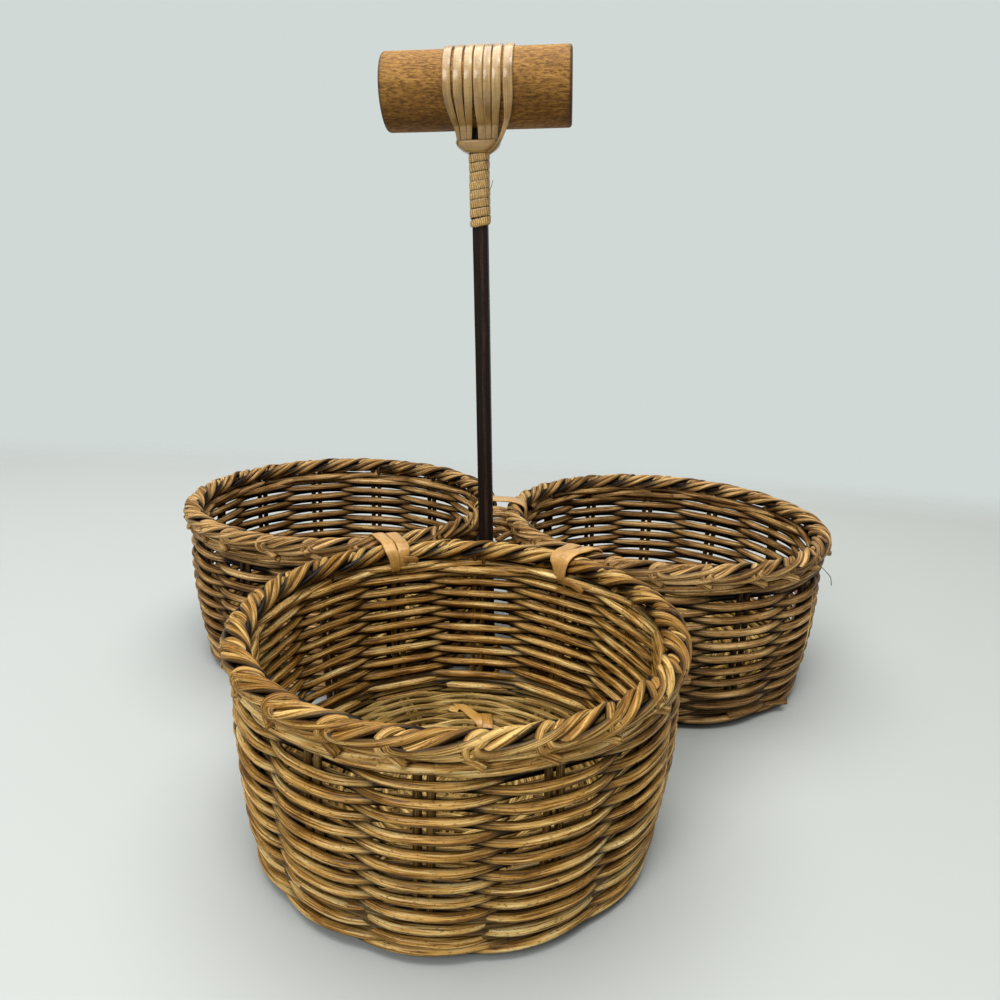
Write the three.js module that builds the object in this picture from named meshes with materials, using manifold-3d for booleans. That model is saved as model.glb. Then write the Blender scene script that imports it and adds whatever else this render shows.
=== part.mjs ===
// Three round wicker baskets tied together round an upright post with a dowel handle on top.
// Millimetres, +Z up. The origin is the centre of the bounding box, on the surface it stands on.
import * as THREE from 'three';
import { mergeVertices } from 'three/addons/utils/BufferGeometryUtils.js';
import Module from 'manifold-3d';

const wasm = await Module();
wasm.setup();

// Baskets: the plaited border is the widest ring, and the wall bellies and draws in below it
const rimRadius = 80;
const rimGapFrontRight = 0.6;
const rimGapFrontLeft = 3.3;
const rimGapBackPair = 6.4;
const basketHeight = 79.6;
const borderSize = 8.4;
const borderHeight = 6.8;
const borderLobes = 3;
const borderTurns = 8;
const borderGroove = 0.76;
const borderRise = 9.75;
const walingHeight = 6.7;
const walingProud = 0.6;
const wallThickness = 7.2;
const wallTopInset = 2.6;
const wallBellyInset = 2.1;
const wallBottomInset = 6.6;
const weaveDepth = 4.2;
const stakeStations = 13;
const footHeight = 4.2;
const footWidth = 5;
const footInset = 1.6;
const floorRaise = 0.4;
const floorThickness = 3.4;
const floorRings = 3;

// How each basket is woven: the bearing of its first stake, how unevenly the stakes stand and the
// bearing from that stake where they are widest apart, the stake the weaver starts at, and its rows
const weaves = {
  front: { firstStake: 31, uneven: 7.4, widest: -15, start: 1, rows: 21, borderStart: 7.8 },
  right: { firstStake: 29, uneven: 10.4, widest: -25, start: 10, rows: 19, borderStart: 12.3 },
  left: { firstStake: 62, uneven: 5.6, widest: -35, start: 4, rows: 19, borderStart: 0.8 },
};

// Post, which leans a little, and its dowel handle
const postSize = 6.3;
const postBottom = 2;
const postLean = THREE.MathUtils.degToRad(2.4);
const postFootOffset = 1.9;
const dowelDiameter = 29.7;
const dowelLength = 75.4;
const dowelHeight = 264.8;
const dowelEdgeRound = 1;
const socketDepth = 14;

// Flat cane of the lashing over the dowel
const lashingTurns = 7;
const lashingLeftTurns = 3;
const lashingPitch = 3.95;
const lashingShift = 1.4;
const lashingWidth = 3.5;
const lashingBottomPitch = 1.8;
const lashingBottomWidth = 1.3;
const lashingDrop = 5.6;
const lashingStart = 0.24;
const lashingTail = 0.08;
const lashingGather = 0.85;
const caneThickness = 1;

// Cane wound round the post below the dowel, and the collar above it
const bindingTurns = 8;
const bindingLength = 24.6;
const bindingThickness = 1.1;
const bindingStripGap = 0.5;
const collarWidth = 3;
const collarSag = 2.4;

// Cane ties
const tieWidth = 4.2;
const tieTurns = 2;
const tiePitch = 4.8;
const tieSteps = 16;
const tieSlotDepth = 2.2;
const strapWidth = 3.6;
const strapLevel = 4.5;
const strapRise = 0.8;
const floorTieReach = 18;

// Clearances
const seatGap = 0.3;
const windingSeat = 0.45;
const slotClearance = 0.6;
const coilSteps = 24;

const weaveColumns = 2 * stakeStations;
const full = 2 * Math.PI;

const colours = {
  weaver: { color: 0x9a7440, roughness: 0.55 },
  border: { color: 0xa9814a, roughness: 0.5 },
  waling: { color: 0x94703f, roughness: 0.55 },
  foot: { color: 0x8a6739, roughness: 0.6 },
  floor: { color: 0x8f713f, roughness: 0.6 },
  cane: { color: 0xcda469, roughness: 0.35 },
  tie: { color: 0xc0924f, roughness: 0.4 },
  post: { color: 0x2e2019, roughness: 0.6 },
  dowel: { color: 0xa06c35, roughness: 0.5 },
};

function mesh(name, geometry, finish) {
  const material = new THREE.MeshStandardMaterial({ ...colours[finish], metalness: 0 });
  const piece = new THREE.Mesh(geometry, material);
  piece.name = name;
  return piece;
}

// A geometry from points and triangles, turned so that its faces point out
function closedGeometry(points, triangles) {
  let volume = 0;
  const cross = new THREE.Vector3();
  for (const [a, b, c] of triangles) {
    volume += cross.crossVectors(points[a], points[b]).dot(points[c]);
  }
  const order = volume < 0 ? triangles.map(([a, b, c]) => [a, c, b]) : triangles;
  const geometry = new THREE.BufferGeometry().setFromPoints(points);
  geometry.setIndex(order.flat());
  geometry.computeVertexNormals();
  return geometry;
}

function solidOf(geometry) {
  const bare = geometry.clone();
  bare.deleteAttribute('normal');
  bare.deleteAttribute('uv');
  const merged = mergeVertices(bare);
  return new wasm.Manifold(new wasm.Mesh({
    numProp: 3,
    vertProperties: new Float32Array(merged.attributes.position.array),
    triVerts: new Uint32Array(merged.index.array),
  }));
}

function geometryOf(solid) {
  const result = solid.getMesh();
  const geometry = new THREE.BufferGeometry();
  geometry.setAttribute('position', new THREE.BufferAttribute(result.vertProperties, 3));
  geometry.setIndex(new THREE.BufferAttribute(result.triVerts, 1));
  geometry.computeVertexNormals();
  return geometry;
}

function cut(geometry, cutters) {
  let solid = solidOf(geometry);
  for (const cutter of cutters) {
    solid = solid.subtract(solidOf(cutter));
  }
  return geometryOf(solid);
}

const caneOutline = [[-0.5, 0], [-0.36, -0.5], [0.36, -0.5], [0.5, 0], [0.36, 0.5], [-0.36, 0.5]];
const slotOutline = [[-0.5, -0.5], [0.5, -0.5], [0.5, 0.5], [-0.5, 0.5]];

// A flat strip swept along stations, each with a point, a width and a face direction
function stripGeometry(stations, closed, outline = caneOutline) {
  const points = [];
  const triangles = [];
  const sides = outline.length;
  for (const { point, side, face, width, thickness } of stations) {
    for (const [u, v] of outline) {
      points.push(point.clone().addScaledVector(side, u * width).addScaledVector(face, v * thickness));
    }
  }
  const runs = closed ? stations.length : stations.length - 1;
  for (let i = 0; i < runs; i += 1) {
    const here = i * sides;
    const next = ((i + 1) % stations.length) * sides;
    for (let j = 0; j < sides; j += 1) {
      const k = (j + 1) % sides;
      triangles.push([here + j, here + k, next + k], [here + j, next + k, next + j]);
    }
  }
  if (!closed) {
    const last = (stations.length - 1) * sides;
    for (let j = 1; j < sides - 1; j += 1) {
      triangles.push([0, j + 1, j], [last, last + j, last + j + 1]);
    }
  }
  return closedGeometry(points, triangles);
}

// Stations along points, where the strip keeps its width as near as it can to a given direction
function stripStations(points, widthOf, sideOf, thickness, closed) {
  return points.map((point, i) => {
    const count = points.length;
    const before = closed ? points[(i + count - 1) % count] : points[Math.max(i - 1, 0)];
    const after = closed ? points[(i + 1) % count] : points[Math.min(i + 1, count - 1)];
    const ahead = after.clone().sub(before).normalize();
    const side = sideOf(i).clone().addScaledVector(ahead, -sideOf(i).dot(ahead)).normalize();
    const face = new THREE.Vector3().crossVectors(ahead, side);
    return { point, side, face, width: widthOf(i), thickness };
  });
}

// The least gap between turns of one winding, from edge to edge of its strip
function leastTurnGap(points, widths) {
  let least = Infinity;
  for (let i = 0; i < points.length; i += 1) {
    for (let j = i + Math.round(coilSteps * 0.6); j < points.length; j += 1) {
      least = Math.min(least, points[i].distanceTo(points[j]) - (widths[i] + widths[j]) / 2);
    }
  }
  return least;
}

// The wall's outside radius, from its bottom edge to its top edge
const wallBottom = footHeight + seatGap;
const borderBottom = basketHeight - borderHeight;
const walingBottom = borderBottom - seatGap - walingHeight;
const wallTop = walingBottom - seatGap;
const tieBottom = wallTop - tieSlotDepth;
const floorBottom = footHeight + caneThickness + 2 * seatGap + floorRaise;
const floorHeight = floorBottom + floorThickness;
const walingInside = rimRadius - wallTopInset + walingProud - wallThickness;

function wallRadius(z) {
  const s = (z - wallBottom) / (wallTop - wallBottom);
  const bottom = rimRadius - wallBottomInset;
  const belly = rimRadius - wallBellyInset;
  const top = rimRadius - wallTopInset;
  return bottom * (1 - s) * (1 - 2 * s) + 4 * belly * s * (1 - s) + top * s * (2 * s - 1);
}

const floorRadius = wallRadius(wallBottom) - wallThickness - seatGap;

// The angle of a stake, or of a place between stakes, in the basket's own frame
function stakeAngle(basket, count) {
  const { firstStake, uneven, widest } = weaves[basket.name];
  const turned = (360 * count) / stakeStations;
  const sine = (degrees) => Math.sin(THREE.MathUtils.degToRad(degrees));
  const spread = uneven * (sine(turned - widest) + sine(widest));
  return THREE.MathUtils.degToRad(firstStake + turned + spread) - basket.turn;
}

// Plain weave as relief on both faces: one weaver climbs a row a turn, outside one stake and inside the next
function wallGeometry(basket) {
  const { start, rows } = weaves[basket.name];
  const points = [];
  const triangles = [];
  const columns = [];
  const pitch = (wallTop - wallBottom) / (rows + 1);
  const edge = 0.5;
  for (let i = 0; i < weaveColumns; i += 1) {
    const angle = stakeAngle(basket, start + i / 2);
    const place = (inset, z) => {
      const radius = wallRadius(z) - inset;
      points.push(new THREE.Vector3(radius * Math.cos(angle), radius * Math.sin(angle), z));
      return points.length - 1;
    };
    const ring = (z, share) => ({
      z,
      outer: place(weaveDepth * share, z),
      inner: place(wallThickness - weaveDepth * (1 - share), z),
    });
    const column = [ring(wallBottom, edge)];
    for (let row = 0; row < rows; row += 1) {
      const turn = row + i / weaveColumns;
      const swing = Math.cos(Math.PI * stakeStations * turn);
      column.push(ring(wallBottom + pitch * (turn + 0.5), (1 - swing) / 2));
    }
    column.push(ring(wallTop, edge));
    columns.push(column);
  }
  for (let i = 0; i < weaveColumns; i += 1) {
    const a = columns[i];
    const b = columns[(i + 1) % weaveColumns];
    let m = 0;
    let n = 0;
    while (m < a.length - 1 || n < b.length - 1) {
      const nextA = m < a.length - 1 ? a[m + 1].z : Infinity;
      const nextB = n < b.length - 1 ? b[n + 1].z : Infinity;
      const tip = nextA < nextB ? a[m + 1] : b[n + 1];
      triangles.push([a[m].outer, b[n].outer, tip.outer], [a[m].inner, tip.inner, b[n].inner]);
      if (nextA < nextB) {
        m += 1;
      } else {
        n += 1;
      }
    }
    for (const [one, two, facing] of [[a[0], b[0], 1], [a[a.length - 1], b[b.length - 1], -1]]) {
      const [first, second] = facing > 0 ? [one, two] : [two, one];
      triangles.push([first.outer, first.inner, second.inner], [first.outer, second.inner, second.outer]);
    }
  }
  return closedGeometry(points, triangles);
}

// A ring turned from a closed section of [radius, height] points
function ringGeometry(section) {
  const outline = [...section, section[0]].map(([radius, z]) => new THREE.Vector2(radius, z));
  const ring = new THREE.LatheGeometry(outline, weaveColumns, -Math.PI / 2, full);
  ring.rotateX(Math.PI / 2);
  ring.deleteAttribute('normal');
  ring.deleteAttribute('uv');
  const merged = mergeVertices(ring, 1e-4);
  const points = [];
  const position = merged.attributes.position;
  for (let i = 0; i < position.count; i += 1) {
    points.push(new THREE.Vector3().fromBufferAttribute(position, i));
  }
  const triangles = [];
  for (let i = 0; i < merged.index.count; i += 3) {
    const [a, b, c] = [0, 1, 2].map((k) => merged.index.getX(i + k));
    if (a !== b && b !== c && a !== c) {
      triangles.push([a, b, c]);
    }
  }
  return closedGeometry(points, triangles);
}

// The plaited border: a rope-like ring, a little flat, whose lobes turn round its middle line
function borderGeometry(basket) {
  const steps = borderLobes * borderTurns * 3;
  const start = THREE.MathUtils.degToRad(weaves[basket.name].borderStart + borderRise) - basket.turn;
  const sides = borderLobes * 2;
  const middle = rimRadius - borderSize / 2;
  const points = [];
  const triangles = [];
  for (let i = 0; i < steps; i += 1) {
    const angle = (full * i) / steps;
    for (let j = 0; j < sides; j += 1) {
      const lobe = j % 2 === 0 ? 1 : borderGroove;
      const around = (full * j) / sides + (angle - start) * borderTurns;
      const radius = middle + (borderSize / 2) * lobe * Math.cos(around);
      const z = basketHeight - borderHeight / 2 + (borderHeight / 2) * lobe * Math.sin(around);
      points.push(new THREE.Vector3(radius * Math.cos(angle), radius * Math.sin(angle), z));
    }
  }
  for (let i = 0; i < steps; i += 1) {
    const here = i * sides;
    const next = ((i + 1) % steps) * sides;
    for (let j = 0; j < sides; j += 1) {
      const k = (j + 1) % sides;
      triangles.push([here + j, here + k, next + k], [here + j, next + k, next + j]);
    }
  }
  return closedGeometry(points, triangles);
}

// Rows of waling packed tight under the border
function walingGeometry() {
  const outside = walingInside + wallThickness;
  const inside = walingInside;
  const groove = 0.8;
  const top = walingBottom + walingHeight;
  return ringGeometry([
    [inside, walingBottom], [outside - groove, walingBottom],
    [outside, walingBottom + walingHeight / 4], [outside - groove, walingBottom + walingHeight / 2],
    [outside, top - walingHeight / 4], [outside - groove, top], [inside, top],
  ]);
}

// The foot ring under the wall, flat where it rests
function footGeometry() {
  const middle = wallRadius(wallBottom) - wallThickness / 2 - footInset;
  const half = footWidth / 2;
  return ringGeometry([
    [middle - half / 2, 0], [middle + half / 2, 0], [middle + half, footHeight * 0.4],
    [middle + half * 0.7, footHeight], [middle - half * 0.7, footHeight], [middle - half, footHeight * 0.4],
  ]);
}

// The woven floor: a round mat with rings of relief on both faces
function floorGeometry() {
  const relief = 0.7;
  const top = [];
  const underside = [];
  for (let ring = 1; ring <= floorRings; ring += 1) {
    const radius = (floorRadius * ring) / floorRings;
    const drop = (floorRings - ring) % 2 === 1 ? relief : 0;
    top.push([radius, floorHeight - drop]);
    underside.unshift([radius, floorBottom + drop]);
  }
  return ringGeometry([[0, floorBottom], [0, floorHeight], ...top, ...underside]);
}

// Where the baskets stand: a triangle of centres, with the post equally far from all three
function basketLayout() {
  const frontRight = 2 * rimRadius + rimGapFrontRight;
  const frontLeft = 2 * rimRadius + rimGapFrontLeft;
  const backPair = 2 * rimRadius + rimGapBackPair;
  const corner = Math.acos(
    (frontRight ** 2 + frontLeft ** 2 - backPair ** 2) / (2 * frontRight * frontLeft),
  );
  const reach = backPair / 2 / Math.sin(corner);
  const front = -Math.PI / 2;
  const right = front + 2 * Math.asin(frontRight / 2 / reach);
  const left = front - 2 * Math.asin(frontLeft / 2 / reach);
  const place = (name, bearing) => {
    const centre = new THREE.Vector3(reach * Math.cos(bearing), reach * Math.sin(bearing), 0);
    const turn = bearing + Math.PI;
    const matrix = new THREE.Matrix4().makeRotationZ(turn).setPosition(centre);
    return { name, centre, turn, matrix };
  };
  return [place('front', front), place('right', right), place('left', left)];
}

const baskets = basketLayout();
const [frontBasket, rightBasket, leftBasket] = baskets;

// A tie round two neighbouring borders, in the upright plane through both basket centres
function rimTieGeometry(halfWidth) {
  const top = basketHeight + seatGap + caneThickness / 2;
  const halfHeight = (top - tieBottom) / 2;
  const square = (value) => Math.sign(value) * Math.abs(value) ** 0.25;
  const points = [];
  for (let i = 0; i <= tieTurns * tieSteps; i += 1) {
    const turn = i / tieSteps;
    const angle = full * turn + Math.PI / 4;
    points.push(new THREE.Vector3(
      (halfWidth + caneThickness / 2) * square(Math.cos(angle)),
      (turn - tieTurns / 2) * tiePitch,
      top - halfHeight + halfHeight * square(Math.sin(angle)),
    ));
  }
  const along = new THREE.Vector3(0, 1, 0);
  return stripGeometry(stripStations(points, () => tieWidth, () => along, caneThickness, false), false);
}

// The notch that the tie's turns need in the top edge of each wall
function rimTieNotch(halfWidth) {
  const margin = caneThickness + slotClearance;
  const spread = tieTurns * tiePitch + tieWidth + 2 * slotClearance;
  const bottom = tieBottom - caneThickness / 2 - slotClearance;
  const notch = new THREE.BoxGeometry(2 * (halfWidth + margin), spread, wallTop + margin - bottom);
  notch.translate(0, 0, (wallTop + margin + bottom) / 2);
  return notch;
}

function rimTie(a, b, gap) {
  const spread = (tieTurns * tiePitch + tieWidth) / 2;
  const inside = Math.min(walingInside * Math.cos(Math.PI / weaveColumns), rimRadius - borderSize);
  const bow = inside - Math.sqrt(inside ** 2 - spread ** 2);
  const halfWidth = gap / 2 + rimRadius - inside + bow + windingSeat;
  const middle = a.centre.clone().lerp(b.centre, 0.5);
  const direction = b.centre.clone().sub(a.centre);
  const bearing = Math.atan2(direction.y, direction.x);
  const matrix = new THREE.Matrix4().makeRotationZ(bearing).setPosition(middle);
  return { middle, bearing, matrix, geometry: rimTieGeometry(halfWidth), cutter: rimTieNotch(halfWidth) };
}

const rimTies = {
  tie_front_left: rimTie(frontBasket, leftBasket, rimGapFrontLeft),
  tie_front_right: rimTie(frontBasket, rightBasket, rimGapFrontRight),
  tie_back_pair: rimTie(rightBasket, leftBasket, rimGapBackPair),
};

// A strap from a basket's floor out through the wall, round the post and back in under the floor,
// where it turns up through the floor and crosses over to its start.
// Its stations are in the basket's frame, where the post stands at +X.
function floorTieStations(basket, level, grow) {
  const high = floorHeight + seatGap + caneThickness / 2;
  const low = floorBottom - seatGap - caneThickness / 2;
  const postHeight = high + level * strapLevel;
  const post = new THREE.Vector3(postFootOffset - Math.tan(postLean) * postHeight, 0, 0);
  post.applyMatrix4(basket.matrix.clone().invert());
  const sideways = postSize / 2 + seatGap + caneThickness;
  const loopStep = Math.PI / 6;
  const loopRadius = (postSize / Math.SQRT2 + windingSeat + caneThickness / 2) / Math.cos(loopStep / 2);
  const inner = floorRadius - floorTieReach;
  const outer = wallRadius(high) + seatGap;
  const across = new THREE.Vector3(0, 1, 0);
  const up = new THREE.Vector3(0, 0, 1);
  const blends = 3;
  const leg = (sign, z) => {
    const start = sign > 0 ? inner + 2 * sideways : inner;
    const points = [
      { at: new THREE.Vector3(start, sign * sideways, z), side: across },
      { at: new THREE.Vector3((start + outer) / 2, sign * sideways, z), side: across },
      { at: new THREE.Vector3(outer, sign * sideways, z), side: across },
    ];
    for (let i = 1; i <= blends; i += 1) {
      const share = i / (blends + 1);
      const turned = THREE.MathUtils.smoothstep(share, 0, strapRise);
      points.push({
        at: new THREE.Vector3(
          THREE.MathUtils.lerp(outer, post.x, share),
          THREE.MathUtils.lerp(sign * sideways, post.y + sign * loopRadius, turned),
          THREE.MathUtils.lerp(z, postHeight, turned),
        ),
        side: across.clone().lerp(up, turned).normalize(),
      });
    }
    return points;
  };
  const loop = [];
  for (let angle = Math.PI / 2; angle > -Math.PI / 2 - loopStep / 2; angle -= loopStep) {
    const x = post.x + loopRadius * Math.cos(angle);
    const y = post.y + loopRadius * Math.sin(angle);
    loop.push({ at: new THREE.Vector3(x, y, postHeight), side: up });
  }
  const turn = [];
  for (const share of [0.25, 0.5, 0.75, 1]) {
    const angle = Math.PI * (1.5 - share);
    const radius = (high - low) / 2;
    turn.push({
      at: new THREE.Vector3(
        inner + radius * Math.cos(angle), -sideways, (high + low) / 2 + radius * Math.sin(angle),
      ),
      side: across,
    });
  }
  const route = [...leg(1, high), ...loop, ...leg(-1, low).reverse(), ...turn];
  return stripStations(
    route.map(({ at }) => at), () => strapWidth + grow, (i) => route[i].side, caneThickness + grow, true,
  );
}

const floorTies = {};
baskets.forEach((basket, level) => {
  floorTies[`floor_tie_${basket.name}`] = {
    basket,
    geometry: stripGeometry(floorTieStations(basket, level, 0), true),
    cutter: stripGeometry(floorTieStations(basket, level, 2 * slotClearance), true, slotOutline),
  };
});

// Everything that passes through a basket, in that basket's own frame
function cuttersFor(basket) {
  const cutters = [];
  const home = basket.matrix.clone().invert();
  for (const tie of Object.values(rimTies)) {
    cutters.push(tie.cutter.clone().applyMatrix4(home.clone().multiply(tie.matrix)));
  }
  for (const entry of Object.values(floorTies)) {
    if (entry.basket === basket) {
      cutters.push(entry.cutter);
    }
  }
  return cutters;
}

function buildBasket(basket) {
  const group = new THREE.Group();
  const cutters = cuttersFor(basket);
  group.add(mesh(`${basket.name}_foot`, footGeometry(), 'foot'));
  group.add(mesh(`${basket.name}_floor`, cut(floorGeometry(), cutters), 'floor'));
  group.add(mesh(`${basket.name}_wall`, cut(wallGeometry(basket), cutters), 'weaver'));
  group.add(mesh(`${basket.name}_waling`, walingGeometry(), 'waling'));
  group.add(mesh(`${basket.name}_border`, borderGeometry(basket), 'border'));
  group.applyMatrix4(basket.matrix);
  return group;
}

function buildTies() {
  const group = new THREE.Group();
  for (const [name, tie] of Object.entries(rimTies)) {
    const piece = mesh(name, tie.geometry, 'tie');
    piece.position.copy(tie.middle);
    piece.rotation.z = tie.bearing;
    group.add(piece);
  }
  for (const [name, entry] of Object.entries(floorTies)) {
    const piece = mesh(name, entry.geometry, 'tie');
    piece.applyMatrix4(entry.basket.matrix);
    group.add(piece);
  }
  return group;
}

// The dowel lies across the post, whose top end sits in a square socket in it
function dowelGeometry() {
  const radius = dowelDiameter / 2;
  const half = dowelLength / 2;
  const inset = dowelEdgeRound;
  const outline = [
    [0, -half], [radius - inset, -half], [radius, -half + inset],
    [radius, half - inset], [radius - inset, half], [0, half],
  ].map(([x, y]) => new THREE.Vector2(x, y));
  const dowel = new THREE.LatheGeometry(outline, 32);
  dowel.rotateZ(Math.PI / 2);
  const opening = postSize + 2 * seatGap;
  const socket = new THREE.BoxGeometry(opening, opening, socketDepth + radius);
  socket.translate(0, 0, socketDepth / 2 - radius - radius / 2);
  return cut(dowel, [socket]);
}

const lashingFold = postSize / 2 + 2 * windingSeat + caneThickness / 2;

// Cane over the dowel: each turn runs up behind, over, and down in front to pass beside the post
function lashingPath() {
  const over = dowelDiameter / 2 + windingSeat + caneThickness / 2;
  const under = lashingFold;
  const depth = dowelDiameter / 2 + lashingDrop - under;
  const lean = Math.asin((over - under) / depth);
  const side = Math.sqrt(depth ** 2 - (over - under) ** 2);
  const bottomArc = under * (Math.PI / 2 - lean);
  const topArc = over * (Math.PI / 2 + lean);
  const half = bottomArc + side + topArc;
  const besidePost = postSize / 2 + windingSeat + lashingBottomWidth / 2;
  const bottomPlace = (visit) => (visit <= lashingLeftTurns
    ? -besidePost - (lashingLeftTurns - visit) * lashingBottomPitch
    : besidePost + (visit - lashingLeftTurns - 1) * lashingBottomPitch);
  const points = [];
  const widths = [];
  const count = Math.round((lashingTurns - lashingStart - lashingTail) * coilSteps);
  for (let i = 0; i <= count; i += 1) {
    const turn = lashingStart + ((lashingTurns - lashingStart - lashingTail) * i) / count;
    const index = Math.floor(turn);
    const share = turn - index;
    const behind = share < 0.5 ? 1 : -1;
    const travel = half * Math.min(share, 1 - share) * 2;
    const visit = behind > 0 ? index : index + 1;
    let y;
    let z;
    let low;
    if (travel < bottomArc) {
      const angle = travel / under;
      y = under * Math.sin(angle);
      z = -depth - under * Math.cos(angle);
      low = 1;
    } else if (travel < bottomArc + side) {
      const down = 1 - (travel - bottomArc) / side;
      const radius = THREE.MathUtils.lerp(over, under, down);
      y = radius * Math.cos(lean);
      z = -depth * down - radius * Math.sin(lean);
      low = THREE.MathUtils.smoothstep(down, 0, lashingGather);
    } else {
      const angle = (travel - bottomArc - side) / over - lean;
      y = over * Math.cos(angle);
      z = over * Math.sin(angle);
      low = 0;
    }
    const top = lashingShift + (index - (lashingTurns - 1) / 2) * lashingPitch;
    points.push(new THREE.Vector3(THREE.MathUtils.lerp(top, bottomPlace(visit), low), behind * y, z));
    widths.push(THREE.MathUtils.lerp(lashingWidth, lashingBottomWidth, low));
  }
  return { points, widths };
}

function bindingPoints() {
  const half = postSize / 2 + windingSeat + bindingThickness / 2;
  const corner = postSize / Math.SQRT2 + 1.5 * windingSeat + bindingThickness / 2;
  const pitch = bindingLength / bindingTurns;
  const count = bindingTurns * coilSteps;
  const points = [];
  for (let i = 0; i <= count; i += 1) {
    const turn = i / coilSteps;
    const angle = full * turn;
    const flat = half / Math.max(Math.abs(Math.cos(angle)), Math.abs(Math.sin(angle)));
    const radius = Math.min(flat, corner);
    points.push(new THREE.Vector3(radius * Math.cos(angle), radius * Math.sin(angle), -turn * pitch));
  }
  return points;
}

function collarStations(width, depth) {
  const points = [];
  for (let i = 0; i < coilSteps; i += 1) {
    const angle = (full * i) / coilSteps;
    points.push(new THREE.Vector3(
      width * Math.cos(angle), depth * Math.sin(angle), -collarSag * Math.abs(Math.sin(angle)),
    ));
  }
  const up = new THREE.Vector3(0, 0, 1);
  return stripStations(points, () => collarWidth, () => up, caneThickness, true);
}

function buildHandle() {
  const group = new THREE.Group();
  const dowelBottom = dowelHeight - dowelDiameter / 2;
  const postTop = dowelBottom + socketDepth - seatGap;
  const post = new THREE.BoxGeometry(postSize, postSize, postTop - postBottom);
  const postPiece = mesh('post', post, 'post');
  postPiece.position.z = (postTop + postBottom) / 2;
  group.add(postPiece);

  const dowel = mesh('handle_dowel', dowelGeometry(), 'dowel');
  dowel.position.z = dowelHeight;
  group.add(dowel);

  const { points, widths } = lashingPath();
  const along = new THREE.Vector3(1, 0, 0);
  const lashing = mesh('handle_lashing', stripGeometry(
    stripStations(points, (i) => widths[i], () => along, caneThickness, false), false,
  ), 'cane');
  lashing.position.z = dowelHeight;
  group.add(lashing);

  const lashingBottom = dowelBottom - lashingDrop - caneThickness / 2;
  const sideTurns = Math.max(lashingLeftTurns, lashingTurns - lashingLeftTurns - 1);
  const bundleHalf = postSize / 2 + windingSeat + sideTurns * lashingBottomPitch;
  const collar = mesh('lashing_collar', stripGeometry(
    collarStations(bundleHalf + seatGap + caneThickness, lashingFold + seatGap + caneThickness), true,
  ), 'cane');
  collar.position.z = lashingBottom + seatGap;
  group.add(collar);

  const stripWidth = bindingLength / bindingTurns - bindingStripGap;
  const turns = bindingPoints();
  const up = new THREE.Vector3(0, 0, 1);
  const binding = mesh('post_binding', stripGeometry(
    stripStations(turns, () => stripWidth, () => up, bindingThickness, false), false,
  ), 'cane');
  binding.position.z = lashingBottom - collarSag - collarWidth / 2 - stripWidth / 2;
  group.add(binding);

  const lashingGap = leastTurnGap(points, widths);
  const bindingGap = leastTurnGap(turns, turns.map(() => stripWidth));
  console.log(`least gap between turns: lashing ${lashingGap.toFixed(2)} mm, binding ${bindingGap.toFixed(2)} mm`);

  group.position.x = postFootOffset;
  group.rotation.y = -postLean;
  return group;
}

const caddy = new THREE.Group();
for (const basket of baskets) {
  caddy.add(buildBasket(basket));
}
caddy.add(buildTies());
caddy.add(buildHandle());

// The origin goes under the middle of the whole caddy
const bounds = new THREE.Box3().setFromObject(caddy, true);
const middle = bounds.getCenter(new THREE.Vector3());
caddy.position.set(-middle.x, -middle.y, 0);

const part = new THREE.Group();
part.add(caddy);

export default part;
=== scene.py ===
import math

import bpy
import numpy as np
from mathutils import Matrix, Vector


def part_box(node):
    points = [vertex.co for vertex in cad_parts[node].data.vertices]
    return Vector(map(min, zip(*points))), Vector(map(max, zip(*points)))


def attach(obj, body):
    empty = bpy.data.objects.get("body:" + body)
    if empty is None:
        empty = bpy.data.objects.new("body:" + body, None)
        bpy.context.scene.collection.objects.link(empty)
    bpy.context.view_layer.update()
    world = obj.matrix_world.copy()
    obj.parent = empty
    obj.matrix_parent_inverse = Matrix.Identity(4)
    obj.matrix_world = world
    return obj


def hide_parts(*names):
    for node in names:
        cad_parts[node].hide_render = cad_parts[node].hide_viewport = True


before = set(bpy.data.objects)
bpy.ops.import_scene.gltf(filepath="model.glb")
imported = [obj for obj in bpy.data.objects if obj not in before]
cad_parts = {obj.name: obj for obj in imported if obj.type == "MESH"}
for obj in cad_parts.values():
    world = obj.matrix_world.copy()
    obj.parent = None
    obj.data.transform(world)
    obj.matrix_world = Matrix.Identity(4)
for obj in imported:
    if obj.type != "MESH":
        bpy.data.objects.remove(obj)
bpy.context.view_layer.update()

MM = 0.001
FULL = 2 * math.pi


# What the model says, in millimetres

def span(node):
    """A node's lowest and highest corners."""
    low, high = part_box(node)
    return np.array(low) / MM, np.array(high) / MM


def middle_of(node):
    low, high = span(node)
    return (low[:2] + high[:2]) / 2


BASKETS = {name: middle_of(f"{name}_waling") for name in ("front", "right", "left")}
FOOT_TOP = span("front_foot")[1][2]
WALL_BOTTOM, WALL_TOP = (corner[2] for corner in span("front_wall"))
WALING_BOTTOM, WALING_TOP = (corner[2] for corner in span("front_waling"))
FLOOR_BOTTOM, FLOOR_TOP = (corner[2] for corner in span("front_floor"))
BASKET_TOP = span("front_border")[1][2]
HANDLE_Y = middle_of("post")[1]

# Sizes in millimetres
RIM_RADIUS = 80.0
BORDER_SIZE = 8.4
WALL_INSETS = (6.6, 2.1, 2.6)
STATIONS = 13
STAKE_RADIUS = 1.3
STAKE_SPREAD = math.radians(1.45)
WEAVE_SWING = 2.2
OUTER_REED_INSET = 1.5
POST_SIZE = 6.3
POST_OFFSET = 1.9
POST_BOTTOM = 2.0
POST_TOP = 263.0
POST_LEAN = math.radians(2.4)
DOWEL_RADIUS = 14.85
DOWEL_LENGTH = 75.4
DOWEL_HEIGHT = 264.8
DOWEL_EDGE = 1.3

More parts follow.
